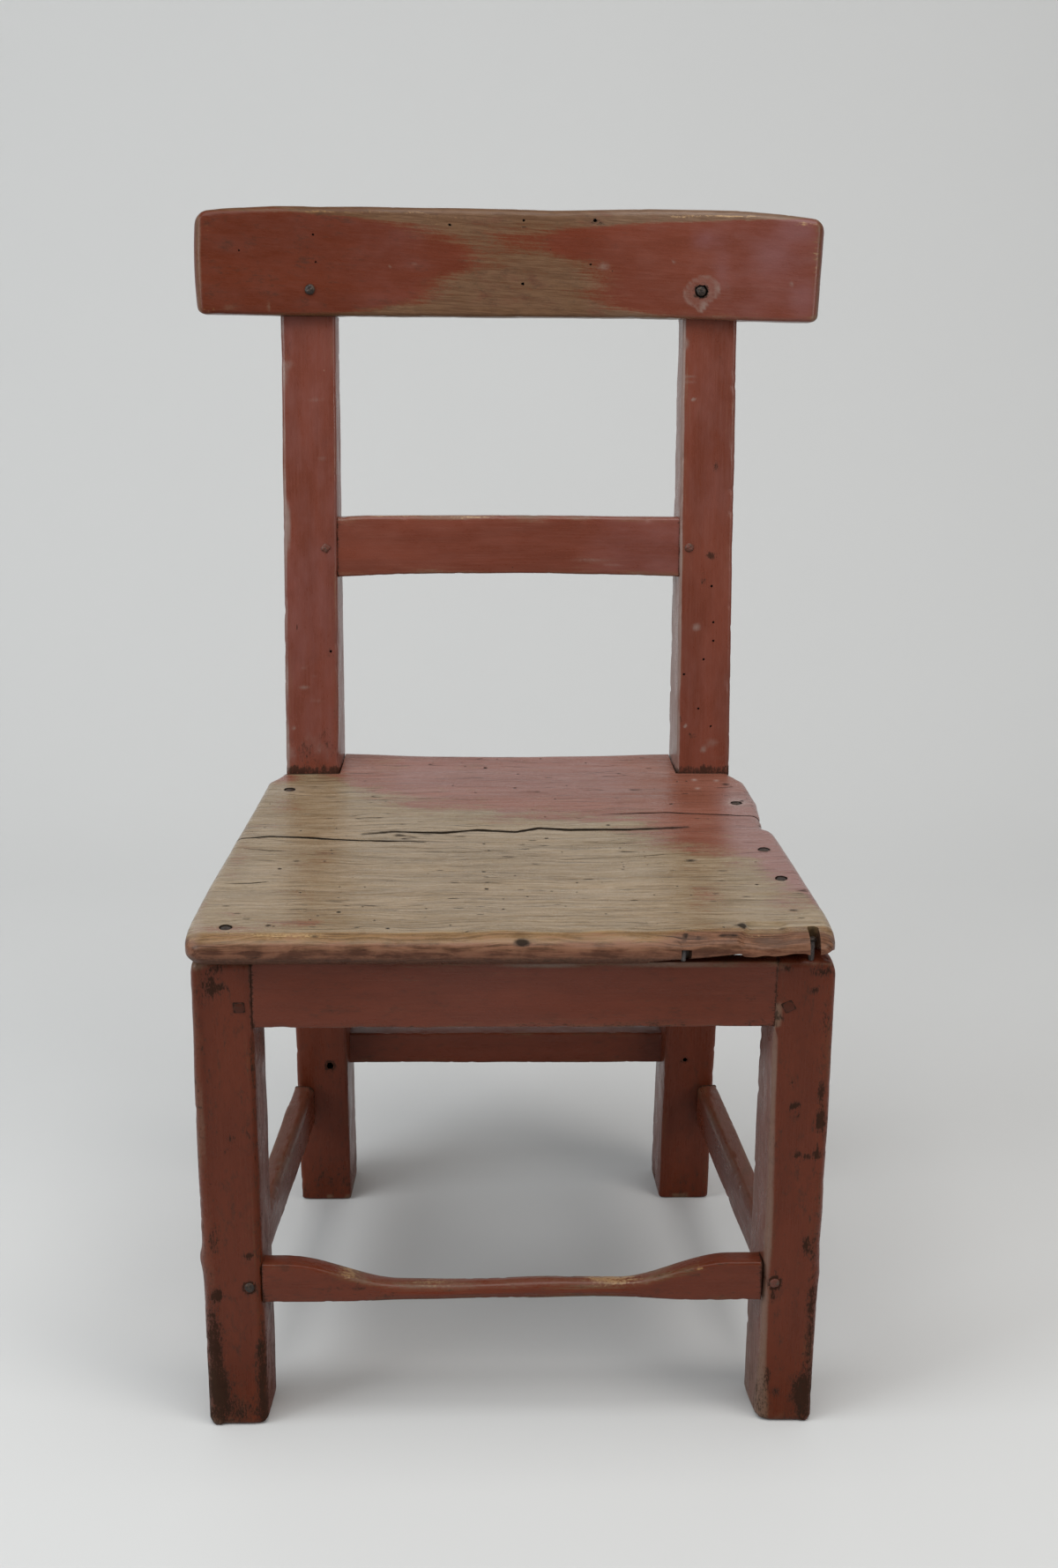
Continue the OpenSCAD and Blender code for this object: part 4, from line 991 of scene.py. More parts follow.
SEAT_STAIN = [
    (-207, 5, 30, 12, 0.45), (-216, 34, 20, 9, 0.42), (-160, 16, 26, 7, 0.30), (-236, 90, 6, 60, 0.45),
    (-150, 25, 30, 40, 0.16), (-158, 130, 20, 90, 0.16), (145, 60, 26, 60, 0.34), (120, 150, 60, 40, 0.10),
    (-195, 250, 34, 80, 0.24), (-110, 300, 40, 30, 0.22), (212, 80, 26, 70, 0.45), (-200, 330, 22, 14, 0.75),
    (-150, 345, 18, 20, 0.6), (-215, 130, 10, 60, 0.25),
]
SEAT_PALE = [
    (161, 322, 2, 2, 1.0), (180, 320, 2, 2, 0.9), (162, 302, 2, 2, 0.9), (-186.9, 298, 9, 9, 0.35),
    (191.3, 266, 9, 9, 0.5), (-235, 10, 5, 20, 0.35),
]
# The paint's front limit, as y at x, and the painted right edge's inner limit, as x at y
PAINT_LIMIT = [
    (-240, 420), (-190, 400), (-158, 352), (-128, 290), (-100, 262), (-60, 252), (0, 240), (60, 228),
    (110, 200), (150, 165), (190, 135), (205, 95), (225, 55), (240, 10),
]
RIGHT_LIMIT = [(-20, 262), (20, 244), (60, 226), (100, 212), (140, 200), (180, 178), (230, 158), (400, 150)]
# Shakes, as a line in plan, width, depth and key
SHAKES = [
    ([(-231, 184), (-217, 185), (-195, 189), (-158, 187), (-120, 183), (-70, 180)], 3.4, 7, 160),
    ([(-120, 197), (-97, 202), (-56, 200), (-27, 207), (4, 202), (23, 210), (47, 206), (97, 207), (145, 212)],
     4.4, 9, 163),
    ([(76, 241), (129, 244), (157, 241), (207, 235), (224, 234)], 2.6, 6, 166),
    ([(-70, 160), (-40, 158), (0, 163), (20, 168)], 0.8, 2, 169),
    ([(20, 140), (70, 146), (120, 152), (170, 160)], 0.8, 2, 172),
    ([(-222, 92), (-200, 93), (-188, 95)], 1.5, 3, 175),
    ([(-214, 165), (-196, 161), (-180, 160)], 1.8, 3, 178),
]
# Nails over the rails, as x, y and how deep the head has sunk. At the broken corner one nail stands in a
# slot, a little forward of its place in the solids, and another has lost its head
SEAT_NAILS = [(-186.9, 298, 2.2), (191.3, 266, 4.5), (202.5, 162, 4.5), (208.9, 102, 4.5), (-213, 9, 2.4)]
SLOT_NAIL = (220.0, 13.0)
SLOT_SHORT = 7.0
BARE_NAIL = (125.3, 2.4)


def away_from(x, y, line):
    """Distance in plan to a line through points."""
    least = np.full(len(x), 1e6)
    for (ax, ay), (bx, by) in zip(line[:-1], line[1:]):
        run_x, run_y = bx - ax, by - ay
        t = np.clip(((x - ax) * run_x + (y - ay) * run_y) / (run_x ** 2 + run_y ** 2), 0, 1)
        least = np.minimum(least, np.hypot(x - ax - t * run_x, y - ay - t * run_y))
    return least


def seat_masks(points):
    """Where the seat is bare, stained, dirty or golden, and where painted shade and sheen go."""
    x, y, z = points.T
    on_top = smooth((z - 421) / 4)
    wave = noise(points, (80, 34, 20), 150)
    # Paint is left at the back, down the right edge and in stains
    limit = curve(x, PAINT_LIMIT) - 16 * wave - 26 * noise(points, (60, 5, 20), 156)
    painted = smooth(0.5 + (y - limit) / 110) * (0.78 + 0.3 * blobs(x, y, [(165, 300, 40, 60, 1)]))
    right_edge = smooth(0.5 + (x - curve(y, RIGHT_LIMIT) + 5 * wave) / 34)
    paint = np.maximum(np.maximum(painted, right_edge), blobs(x, y, SEAT_STAIN))
    under = smooth((423 - z) / 4) * smooth((30 - y) / 20)
    wear = mix(1.0 - np.clip(paint, 0, 1), 0.30 + 0.15 * noise(points, 18, 151), under)
    # A golden line along the front arris: worn wood with a painted highlight
    bright = 0.42 + 0.24 * smooth((-x - 60) / 60) + 0.20 * bell(x, 140, 40)
    golden = bright * bell(y, -4.5, 4.5) * on_top * smooth(0.4 + 1.3 * noise(points, (30, 6, 10), 153))
    # Darker low on the edge and underneath, and dirt beside the posts, along the shakes and round the nails
    from_post = np.clip(np.abs(np.abs(x) - 170) - 23, 0, 99)
    beside_posts = bell(from_post, 0, 2.5) * np.exp(-np.abs(y - 338.5) / 2.6)
    rim = smooth((14 - y) / 10) * smooth((428 - z) / 6)
    grime = 0.06 + 0.42 * smooth((419 - z) / 7) + 1.1 * beside_posts + 0.20 * rim
    grime += blobs(x, y, SEAT_DIRT) * on_top
    for line, width, _, _ in SHAKES:
        near_shake = np.exp(-np.maximum(away_from(x, y, line) - width / 2, 0) / (0.7 + 0.3 * width))
        grime += (0.25 + 0.12 * width) * near_shake * on_top
    for nail_x, nail_y, _ in SEAT_NAILS:
        grime += 0.6 * bell(np.hypot(x - nail_x, y - nail_y), 5.2, 1.6) * on_top
    # The browner nosing, broader to the right: worn brown wood with painted shade on its front and lower
    # faces and on the sides' lower edges. Then the fading, with painted sheen
    nose_depth = 4.0 + 8 * smooth((x - 90) / 90) + 3 * noise(points, (26, 8, 8), 155)
    nose = 0.55 * smooth((nose_depth - y) / 6) + 0.45 * smooth((426.5 - z) / 5) * smooth((30 - y) / 20)
    nose += 0.35 * smooth((x - 100) / 40) * smooth((2 - y) / 6)
    nose = np.maximum(nose, 0.7 * smooth((421 - z) / 6) * (np.abs(x) > 195))
    fade = 0.9 * smooth((x - 165) / 25) * smooth(0.5 + (y - 60) / 80) * smooth((330 - y) / 60)
    fade += 0.5 * smooth((y - 260) / 60) * smooth((120 - np.abs(x)) / 40)
    return {"wear": wear, "grime": grime, "golden": golden, "fade": fade, "nose": nose,
            "pale": blobs(x, y, SEAT_PALE) * on_top}


def between(low, high):
    """Points and faces of the solid between two outlines with as many points."""
    n = len(low)
    faces = [list(range(n))[::-1], list(range(n, 2 * n))]
    faces += [[i, (i + 1) % n, n + (i + 1) % n, n + i] for i in range(n)]
    return list(low) + list(high), faces


def prism(outline, z0, z1):
    return between([(x, y, z0) for x, y in outline], [(x, y, z1) for x, y in outline])


def axes_from(axis):
    """A direction, made one long, and two more at right angles to it."""
    axis = Vector(axis).normalized()
    side = axis.orthogonal().normalized()
    return axis, side, axis.cross(side)


def cylinder(centre, axis, radius, length, count=20, taper=1.0, rough=0.0, key=0):
    """Points and faces of an uneven cylinder from centre along axis."""
    axis, u, v = axes_from(axis)
    swing = 1 + rough * np.random.default_rng(500 + key).uniform(-1, 1, count)
    rings = []
    for level, scale in ((0, 1.0), (length, taper)):
        ring = []
        for i in range(count):
            a = 2 * math.pi * i / count
            outward_by = (u * math.cos(a) + v * math.sin(a)) * radius * scale * swing[i]
            ring.append(tuple(Vector(centre) + axis * level + outward_by))
        rings.append(ring)
    return between(*rings)


def carry_over(old, shape):
    """Gives the vertices that a cut has made the attributes of the nearest older vertex."""
    was, now = vertex_places(old), vertex_places(shape)
    tree = KDTree(len(was))
    for index, place in enumerate(was):
        tree.insert(place, index)
    tree.balance()
    nearest = np.array([tree.find(place)[1] for place in now])
    for attribute in old.attributes:
        if attribute.name.startswith(".") or attribute.name == "position" or attribute.domain != "POINT":
            continue
        field, width = ("vector", 3) if attribute.data_type == "FLOAT_VECTOR" else ("value", 1)
        values = np.empty(width * len(was), np.float32)
        attribute.data.foreach_get(field, values)
        values = values.reshape(-1, width)[nearest]
        if attribute.name == "grain":
            values += now - was[nearest]
        shape.attributes[attribute.name].data.foreach_set(field, values.ravel())


def cut(piece, solids, hollow=1.0):
    """Cuts closed solids out of a piece and darkens the new faces: painted shade, with dirt in the hollows.
    """
    points, faces = [], []
    for solid_points, solid_faces in solids:
        base = len(points)
        points += [(x * MM, (y + FRAME_Y) * MM, z * MM) for x, y, z in solid_points]
        faces += [[base + i for i in face] for face in outward(np.array(solid_points), solid_faces)]
    mesh = bpy.data.meshes.new("tool")
    mesh.from_pydata(points, [], faces)
    mesh.update()
    darkened = mesh.attributes.new("hollow", "FLOAT", "FACE")
    darkened.data.foreach_set("value", np.full(len(faces), hollow, np.float32))
    tool = link("tool", mesh)
    old = piece.data
    if "hollow" not in old.attributes:
        old.attributes.new("hollow", "FLOAT", "FACE")
    modifier = piece.modifiers.new("cut", "BOOLEAN")
    modifier.operation = "DIFFERENCE"
    modifier.solver = "EXACT"
    modifier.object = tool
    bpy.context.view_layer.update()
    shape = bpy.data.meshes.new_from_object(piece.evaluated_get(bpy.context.evaluated_depsgraph_get()))
    piece.modifiers.clear()
    if len(shape.vertices) < 0.8 * len(old.vertices):
        raise RuntimeError("the cut of %s failed" % piece.name)
    if "wear" in old.attributes:
        carry_over(old, shape)
    piece.data = shape
    bpy.data.meshes.remove(old)
    bpy.data.objects.remove(tool)
    bpy.data.meshes.remove(mesh)
    shape.set_sharp_from_angle(angle=math.radians(40))


def crack(line, width, depth, key):
    """A shake along the grain, with a ragged outline, widest in the middle."""
    line = np.array(line, float)
    lengths = np.concatenate([[0], np.cumsum(np.linalg.norm(np.diff(line, axis=0), axis=1))])
    at = np.append(np.arange(0, lengths[-1], 2.6), lengths[-1])
    x, y = np.interp(at, lengths, line[:, 0]), np.interp(at, lengths, line[:, 1])
    spot = np.stack([x, y, 0 * x], -1)
    y = y + 0.5 * noise(spot, 9, key) + 0.25 * noise(spot, 3.5, key + 1)
    swell = np.sin(np.pi * at / lengths[-1]) ** 0.7
    half = width / 2 * (0.12 + swell * (0.75 + 0.5 * noise(spot, 14, key + 2)))
    outline = list(zip(x, y - half)) + list(zip(x, y + half))[::-1]
    return prism(outline, SEAT_TOP - depth, SEAT_TOP + 2)


def seat_board():
    points, faces = seat_base()
    piece = mesh_piece("seat_board", points, faces, "seat_board", "seat_wood")
    # Notches a little clear of the posts, the shakes and the recesses of the sunk nails
    inner = POST_OUTER - POST_WIDTH - 0.8
    front = DEPTH - 0.9
    solids = []
    for side in (-1, 1):
        outline = [(side * inner, front), (side * PAST_EDGE, front), (side * PAST_EDGE, DEPTH + 120),
                   (side * (inner - 100 * POST_SPLAY), DEPTH + 100)]
        solids.append(prism(outline[::side], RAIL_TOP - 25, SEAT_TOP + 30))
    solids += [crack(*shake) for shake in SHAKES]
    for k, (x, y, sunk) in enumerate(SEAT_NAILS):
        solids.append(cylinder((x, y, SEAT_TOP - sunk - 1.5), UPWARD, 4.8, 12, 18, 1.05, 0.06, k))
    cut(piece, solids)
    # The slot with its round end, and the notch at the nail that lost its head
    x, y = SLOT_NAIL
    end = y - SLOT_SHORT
    cut(piece, [prism([(x - 3.2, -40), (x + 4.0, -40), (x + 4.2, end), (x - 4.0, end)], 394, 446)], 0.55)
    cut(piece, [cylinder((x, end, 395), UPWARD, 4.3, 50, 16, 1.0, 0.12, 9)], 0.55)
    x = BARE_NAIL[0]
    profile = [(-18, 395), (7, 395), (7, 415), (-3, 418.5), (-18, 421.5)]
    cut(piece, [between([(x - 3.6, *p) for p in profile], [(x + 3.9, *p) for p in profile])], 0.45)
    places = vertex_places(piece.data) / MM - np.array([0, FRAME_Y, 0])
    set_attributes(piece.data, {**seat_masks(places), "grain": places * MM})


seat_board()


SHANK_RADIUS = 2.1


def forged_nail(name, node, centre, axis, radius, dome, key, shank=14, square=0.0, shank_dirt=1.0,
                finish="iron"):
    """A hand-forged nail: an uneven domed head, its underside at centre, and a shank behind it."""
    rng = np.random.default_rng(900 + key)
    axis, u, v = axes_from(axis)
    turn = np.linspace(0, 2 * np.pi, 28, endpoint=False)
    wobble = 0
    for n in range(2, 6):
        wobble += rng.uniform(-1, 1) * np.cos(n * turn + rng.uniform(0, 6)) / n
    squarish = (np.abs(np.cos(turn + key)) ** 6 + np.abs(np.sin(turn + key)) ** 6) ** (-1 / 6)
    outline = radius * (1 + 0.09 * wobble) * mix(1.0, squarish * 0.92, square)
    # Each ring's share of the head's outline, 0 for those of the round shank, and its height
    levels = [
        (0, -shank), (0, -0.8), (0.96, -0.5), (1.0, 0.0), (1.0, 0.25 * dome), (0.93, 0.52 * dome),
        (0.78, 0.76 * dome), (0.55, 0.92 * dome), (0.28, 0.99 * dome),
    ]
    rings = []
    for scale, height in levels:
        ring = []
        for a, edge in zip(turn, outline):
            r = edge * scale if scale else SHANK_RADIUS
            facet = 0.10 * dome * math.sin(3 * a + key) * (scale < 0.9) * (height > 0)
            sideways = Vector(centre) + u * (r * math.cos(a)) + v * (r * math.sin(a))
            ring.append(tuple(sideways + axis * (height + facet)))
        rings.append(ring)
    points, faces = tube(np.array(rings), 2)
    height = (points - np.array(centre)) @ np.array(axis)
    below = height < -0.6
    made = {
        "wear": 0.22 * smooth(height / dome) + 0.8 * (1 - shank_dirt) * below,
        "grime": smooth(0.45 - height / dome) * np.where(below, shank_dirt, 1.0),
        "grain": (points + key * 31.7) * MM,
    }
    mesh_piece(name, points, outward(points, faces), node, "iron", made, finish)


def square_peg(name, node, centre, axis, half, length, turn, key):
    """A cleft peg, squarish and tapered, with its outer end's middle at centre."""
    axis = Vector(axis).normalized()
    u = Vector(UPWARD)
    v = axis.cross(u).normalized()
    at = np.array([0, 0.15, 0.5, 1.1, 3.0, 8.0, 15.0, length])
    easing = np.array([0.55, 0.28, 0.1, 0, 0, 0, 0, 0])
    us, vs = [], []
    for k, (a, b) in enumerate([(-1, -1), (1, -1), (1, 1), (-1, 1)]):
        swing = 1 + 0.06 * math.sin(key * 3.1 + k * 2.2)
        size = (half * swing - easing) * (1 - 0.004 * at)
        us.append(size * (a * math.cos(turn) - b * math.sin(turn)))
        vs.append(size * (a * math.sin(turn) + b * math.cos(turn)))
    ring, _ = section_ring(section(at, us, vs), np.full((len(at), 4), 0.9), 3, [6, 6, 6, 6])
    centre, axis, u, v = (np.array(w) for w in (centre, axis, u, v))
    points, faces = tube(centre - at[:, None, None] * axis + ring[..., 0:1] * u + ring[..., 1:2] * v, 6)
    depth = -(points - centre) @ axis
    reach = np.linalg.norm(points - centre + depth[:, None] * axis, axis=1) / half
    bulge = 0.5 * np.clip(1 - reach ** 2, 0, 1) * (depth < 0.05)
    points = points + bulge[:, None] * axis
    made = {
        "wear": 0.05 * smooth(1 - depth) * (1.1 - reach),
        "grime": smooth(reach * 1.4 - 0.75) + 0.2,
        # Painted shade, as on the legs
        "soot": np.full(len(points), 0.75),
        "grain": (points + key * 17.3) * MM,
    }
    mesh_piece(name, points, outward(points, faces), node, "peg_wood", made)


def crest_point(x, up, out=0.0):
    return raked(x, crest_bow(x) - out, up)


# Holes in the crest rail and the posts
solids = [cylinder(crest_point(*NAIL_BARE, -2.2), BACK_NORMAL, 5.2, 8, 22, 1.15, 0.10, 3)]
for k, (x, up, radius) in enumerate(CREST_HOLES):
    solids.append(cylinder(crest_point(x, up, -2.5), BACK_NORMAL, radius, 6, 10, 1.2, 0.25, 30 + k))
cut(crest, solids)
for side, holes in POST_HOLES.items():
    solids = []
    for k, (x, up) in enumerate(holes):
        solids.append(cylinder(raked(x, 3.0, up), BACK_NORMAL, 0.95, 6, 9, 1.2, 0.25, 50 + k))
    x, z, radius = PEG_HOLES[side]
    solids.append(cylinder((x, post_front(z) + 10, z), FORWARD, radius, 14, 18, 1.1, 0.12, 60 + side))
    cut(posts[side], solids)

# How far the legs' and the posts' outer faces turn to the back, and the heights of their nails and pegs
LEG_LEAN = 0.0785
POST_LEAN = 0.07
SIDE_NAIL_Z = 105
SIDE_PEG_Z = 378


def out_of_side(side, lean):
    """Direction straight out of an outer face."""
    return side * 0.997, lean, 0



# Nails: name, node, place of the head's underside, direction, radius, height of the dome, key and the rest
NAILS = [
    ("crest_nail_left", "crest_nails", crest_point(-167.3, 410.6, 0.25), BACK_NORMAL, 4.3, 2.0, 1, {}),
    ("crest_nail_right", "crest_nails", crest_point(*NAIL_BARE, -1.2), BACK_NORMAL, 4.0, 1.7, 2,
     {"square": 0.3}),
    ("mid_nail_left", "mid_rail_nails", raked(-157.0, 0.35, 194.3), BACK_NORMAL, 3.7, 1.5, 3,
     {"square": 0.9, "finish": "painted_iron"}),
    ("mid_nail_right", "mid_rail_nails", raked(155.2, 0.35, 195.6), BACK_NORMAL, 3.9, 2.0, 4,
     {"finish": "painted_iron"}),
    ("stretcher_nail_left", "front_stretcher_nails", (-204.6, 0.3, STRETCHER_NAIL_Z[-1]), FORWARD,
     4.0, 1.9, 5, {}),
    ("stretcher_nail_right", "front_stretcher_nails", (STRETCHER_NAIL_X, 0.3, STRETCHER_NAIL_Z[1]), FORWARD,
     3.9, 1.8, 6, {"finish": "painted_iron"}),
]
for side, tag in SIDES:
    for name, x, y, lean, key in (("side_nail_front_", 236.2, 38.0, LEG_LEAN, 7),
                                  ("side_nail_back_", 191.0, 357.0, POST_LEAN, 11)):
        NAILS.append((name + tag, "side_stretcher_nails", (side * x, y, SIDE_NAIL_Z), out_of_side(side, lean),
                      4.2, 1.7, key + side, {}))
for k, (x, y, sunk) in enumerate(SEAT_NAILS):
    place = (x, y, SEAT_TOP - 0.7 - 0.06 * sunk - 1.1)
    NAILS.append(("seat_nail_%d" % k, "seat_nails", place, UPWARD, 4.45, 1.1, 20 + k,
                  {"shank": 30, "square": 0.5}))
x, y = SLOT_NAIL
NAILS.append(("seat_nail_slot", "seat_nails", (x, y - SLOT_SHORT - 1.2, 420.6), UPWARD, 3.4, 2.2, 26,
              {"shank": 34, "shank_dirt": 0.15}))
for *sizes, rest in NAILS:
    forged_nail(*sizes, **rest)


def bare_shank():
    """The rusty shank that lost its head at the waney edge."""
    at = np.array([0, 8, 16, 22, 26, 29, 31.5, 33.2, 34.0])
    size = np.array([1.7, 1.9, 2.0, 2.0, 2.1, 2.3, 2.3, 1.7, 0.8])[:, None]
    turn = np.linspace(0, 2 * np.pi, 14, endpoint=False)
    lean = (0.9 * smooth((at - 20) / 12) - 1.5)[:, None]
    x = BARE_NAIL[0] + lean * 0.5 + size * np.cos(turn)
    y = BARE_NAIL[1] - lean + size * np.sin(turn)
    points, faces = tube(np.stack([x, y, np.broadcast_to((RAIL_TOP - 23 + at)[:, None], x.shape)], 2), 2)
    made = {"wear": np.full(len(points), 1.0), "grime": np.zeros(len(points)), "grain": points * MM}
    mesh_piece("seat_nail_bare", points, outward(points, faces), "seat_nails", "iron", made)


bare_shank()

# Pegs: name, node, place of the outer end, direction, half width, length, turn and key
for side, tag in SIDES:
    front_out, back_out = out_of_side(side, LEG_LEAN), out_of_side(side, POST_LEAN)
    rail_turn = 0.05 if side < 0 else 0.5
    for name, node, (x, y, z), axis, half, length, turn, key in (
        ("rail_peg_", "front_rail_pegs", (204.6, -0.35, 368.2), FORWARD, 4.4, 22, rail_turn, 2),
        ("side_peg_front_", "side_rail_pegs", (234.5, 38, SIDE_PEG_Z), front_out, 4.0, 28, 0.4, 5),
        ("side_peg_back_", "side_rail_pegs", (191.8, 352, SIDE_PEG_Z), back_out, 4.0, 20, 0.7, 9),
        ("rear_peg_", "rear_rail_pegs", (157.0, 391.7, SIDE_PEG_Z), BACKWARD, 3.9, 30, 0.3, 13),
        ("stretcher_peg_", "rear_stretcher_pegs", (161.0, 387.0, 145), BACKWARD, 3.7, 30, 0.2, 17),
    ):
        square_peg(name + tag, node, (side * x, y, z), axis, half, length, turn, key + side)

# Camera at the photograph's place, fitted to the legs, feet, rails and posts. Its angles are in radians, and
# its focal length is in pixels of the photograph, which is 1779 pixels high
PITCH = 0.355751464
ROLL = -0.00978426048
YAW = 0.0274024304
FOCAL_PIXELS = 2642.37
PHOTO_HEIGHT = 1779
SENSOR = 36
CAMERA_PLACE = np.array([-33.958, -1566.332 + FRAME_Y, 1127.614]) * MM


def make_camera():
    flat = math.cos(PITCH)
    forward = np.array([math.sin(YAW) * flat, math.cos(YAW) * flat, -math.sin(PITCH)])
    level = np.array([math.cos(YAW), -math.sin(YAW), 0.0])
    down = np.cross(forward, level)
    right = math.cos(ROLL) * level + math.sin(ROLL) * down
    up = math.sin(ROLL) * level - math.cos(ROLL) * down
    data = bpy.data.cameras.new("camera")
    data.sensor_width = SENSOR
    data.lens = FOCAL_PIXELS / PHOTO_HEIGHT * SENSOR
    data.clip_start, data.clip_end = 0.1, 30
    camera = link("camera", data)
    matrix = Matrix.Identity(4)
    for row in range(3):
        matrix[row] = (right[row], up[row], -forward[row], CAMERA_PLACE[row])
    camera.matrix_world = matrix
    bpy.context.scene.camera = camera


make_camera()


def area_light(name, place, aim_height, size, power, colour):
    data = bpy.data.lights.new(name, "AREA")
    data.shape = "RECTANGLE"
    data.size, data.size_y = size
    data.energy = power
    data.color = colour
    lamp = link(name, data)
    lamp.location = place
    lamp.rotation_mode = "QUATERNION"
    lamp.rotation_quaternion = (Vector(place) - Vector((0, 0, aim_height))).to_track_quat("Z", "Y")


area_light("window_left", (-2.3, -1.0, 1.7), 0.5, (1.6, 1.8), 46, (0.92, 0.97, 1.0))
area_light("window_right", (2.3, -1.5, 1.6), 0.5, (1.4, 1.6), 28, (1.0, 0.95, 0.90))
area_light("sky", (0.0, -0.7, 3.0), 0.4, (2.4, 2.0), 54, (1.0, 0.99, 0.97))


# Room light: an even fill, with a pale background for the camera and a dimmer one for reflections
def room():
    world = bpy.data.worlds.new("room")
    world.use_nodes = True
    tree = world.node_tree
    tree.nodes.clear()
    path = tree.nodes.new("ShaderNodeLightPath")
    shader = None
    for colour, strength, ray in (
        ((0.93, 0.97, 1.0, 1), 0.34, None),
        ((0.60, 0.61, 0.62, 1), 1, "Is Camera Ray"),
        ((0.12, 0.125, 0.13, 1), 1, "Is Glossy Ray"),
    ):
        background = tree.nodes.new("ShaderNodeBackground")
        background.inputs["Color"].default_value = colour
        background.inputs["Strength"].default_value = strength
        if shader is None:
            shader = background.outputs[0]
            continue
        pick = tree.nodes.new("ShaderNodeMixShader")
        for index, socket in enumerate((path.outputs[ray], shader, background.outputs[0])):
            tree.links.new(socket, pick.inputs[index])
        shader = pick.outputs[0]
    tree.links.new(shader, tree.nodes.new("ShaderNodeOutputWorld").inputs[0])
    bpy.context.scene.world = world
    bpy.context.scene.view_settings.view_transform = "Standard"


room()


class Nodes:
    """Short ways to add the nodes of one material."""

    def __init__(self, name):
        self.material = bpy.data.materials.new(name)
        self.material.use_nodes = True
        self.tree = self.material.node_tree
        self.tree.nodes.clear()
        self.grain = self.attribute("grain", "Vector")

    def add(self, kind, inputs, **settings):
        node = self.tree.nodes.new(kind)
        for key, value in settings.items():
            setattr(node, key, value)
        for key, value in inputs.items():
            if isinstance(value, bpy.types.NodeSocket):
                self.tree.links.new(value, node.inputs[key])
            else:
                node.inputs[key].default_value = value
        return node

    def attribute(self, name, output="Fac"):
        return self.add("ShaderNodeAttribute", {}, attribute_name=name).outputs[output]

    def vector(self, operation, a, b):
        return self.add("ShaderNodeVectorMath", {0: a, 1: b}, operation=operation).outputs[0]

    def noise(self, sizes, detail=3.0, roughness=0.55, at=None):
        """Noise whose features are about sizes, in millimetres, along the grain, across it and through it."""
        place = self.grain if at is None else at
        stretched = self.vector("MULTIPLY", place, tuple(1 / (MM * size) for size in sizes))
        inputs = {"Vector": stretched, "Scale": 1.0, "Detail": detail, "Roughness": roughness}
        return self.add("ShaderNodeTexNoise", inputs).outputs["Fac"]

    def calc(self, operation, a, b=0.0, c=0.0, clamp=False):
        return self.add("ShaderNodeMath", {0: a, 1: b, 2: c}, operation=operation, use_clamp=clamp).outputs[0]

    def times(self, a, b):
        return self.calc("MULTIPLY", a, b)

    def ramp(self, value, low, high, out_low=0.0, out_high=1.0):
        inputs = {"Value": value, "From Min": low, "From Max": high, "To Min": out_low, "To Max": out_high}
        return self.add("ShaderNodeMapRange", inputs, interpolation_type="SMOOTHSTEP").outputs["Result"]

    def sum(self, first, *terms):
        """first plus each (value, weight), the value taken round its middle, 0.5."""
        total = first
        for value, weight in terms:
            total = self.calc("ADD", total, self.calc("MULTIPLY_ADD", value, weight, -0.5 * weight))
        return total

    def most(self, first, *others):
        for other in others:
            first = self.calc("MAXIMUM", first, other)
        return first

    def blend(self, a, b, mask, strength=1.0):
        """From colour a to colour b where the mask is 1, as far as the strength lets it."""
        if strength != 1.0:
            mask = self.times(mask, strength)
        a, b = (v if isinstance(v, bpy.types.NodeSocket) else (*v, 1) for v in (a, b))
        return self.add("ShaderNodeMix", {0: mask, 6: a, 7: b}, data_type="RGBA").outputs[2]

    def holes(self, cell, share, radius, long=1.0, through=None):
        """Small holes, long times as long as wide: 1 inside one, with share of the cells having one."""
        scale = (1 / (MM * cell * long), 1 / (MM * cell), 1 / (MM * (through or cell)))
        inputs = {"Vector": self.vector("MULTIPLY", self.grain, scale), "Scale": 1.0, "Randomness": 1.0}
        cells = self.add("ShaderNodeTexVoronoi", inputs)
        random = self.add("ShaderNodeSeparateColor", {"Color": cells.outputs["Color"]}).outputs[0]
        inside = self.ramp(cells.outputs["Distance"], radius / cell, 0.5 * radius / cell)
        return self.times(inside, self.calc("LESS_THAN", random, share))

    def finish(self, colour, roughness, height, depth, metallic=0.0, specular=0.5):
        """Principled surface with a bump of depth millimetres."""
        bump = self.add("ShaderNodeBump", {"Strength": 1.0, "Distance": depth * MM, "Height": height})
        shader = self.add("ShaderNodeBsdfPrincipled", {
            "Base Color": colour, "Roughness": roughness, "Metallic": metallic,
            "Specular IOR Level": specular, "Normal": bump.outputs[0],
        })
        self.tree.links.new(shader.outputs[0], self.add("ShaderNodeOutputMaterial", {}).inputs[0])
        return self.material


# Golden wear with painted highlights, faded paint with painted sheen, pale rubs with painted highlights,
# chipped paint, the tint of the painted shade, dirt patches, dirt with painted shade, and the painted shade
# of the cut faces
GOLDEN_WEAR_AND_HIGHLIGHT = (0.37, 0.235, 0.12)
FADED_PAINT_AND_SHEEN = (0.165, 0.064, 0.060)
PALE_RUB_AND_HIGHLIGHT = (0.21, 0.148, 0.125)
CHIPPED_PAINT = (0.30, 0.18, 0.12)
SHADE_TINT = (0.62, 0.47, 0.28)
SMOKE_PATCH = (0.030, 0.017, 0.011)
DARK_DIRT_AND_SHADE = (0.020, 0.014, 0.010)
HOLE_DARK = (0.006, 0.005, 0.004)


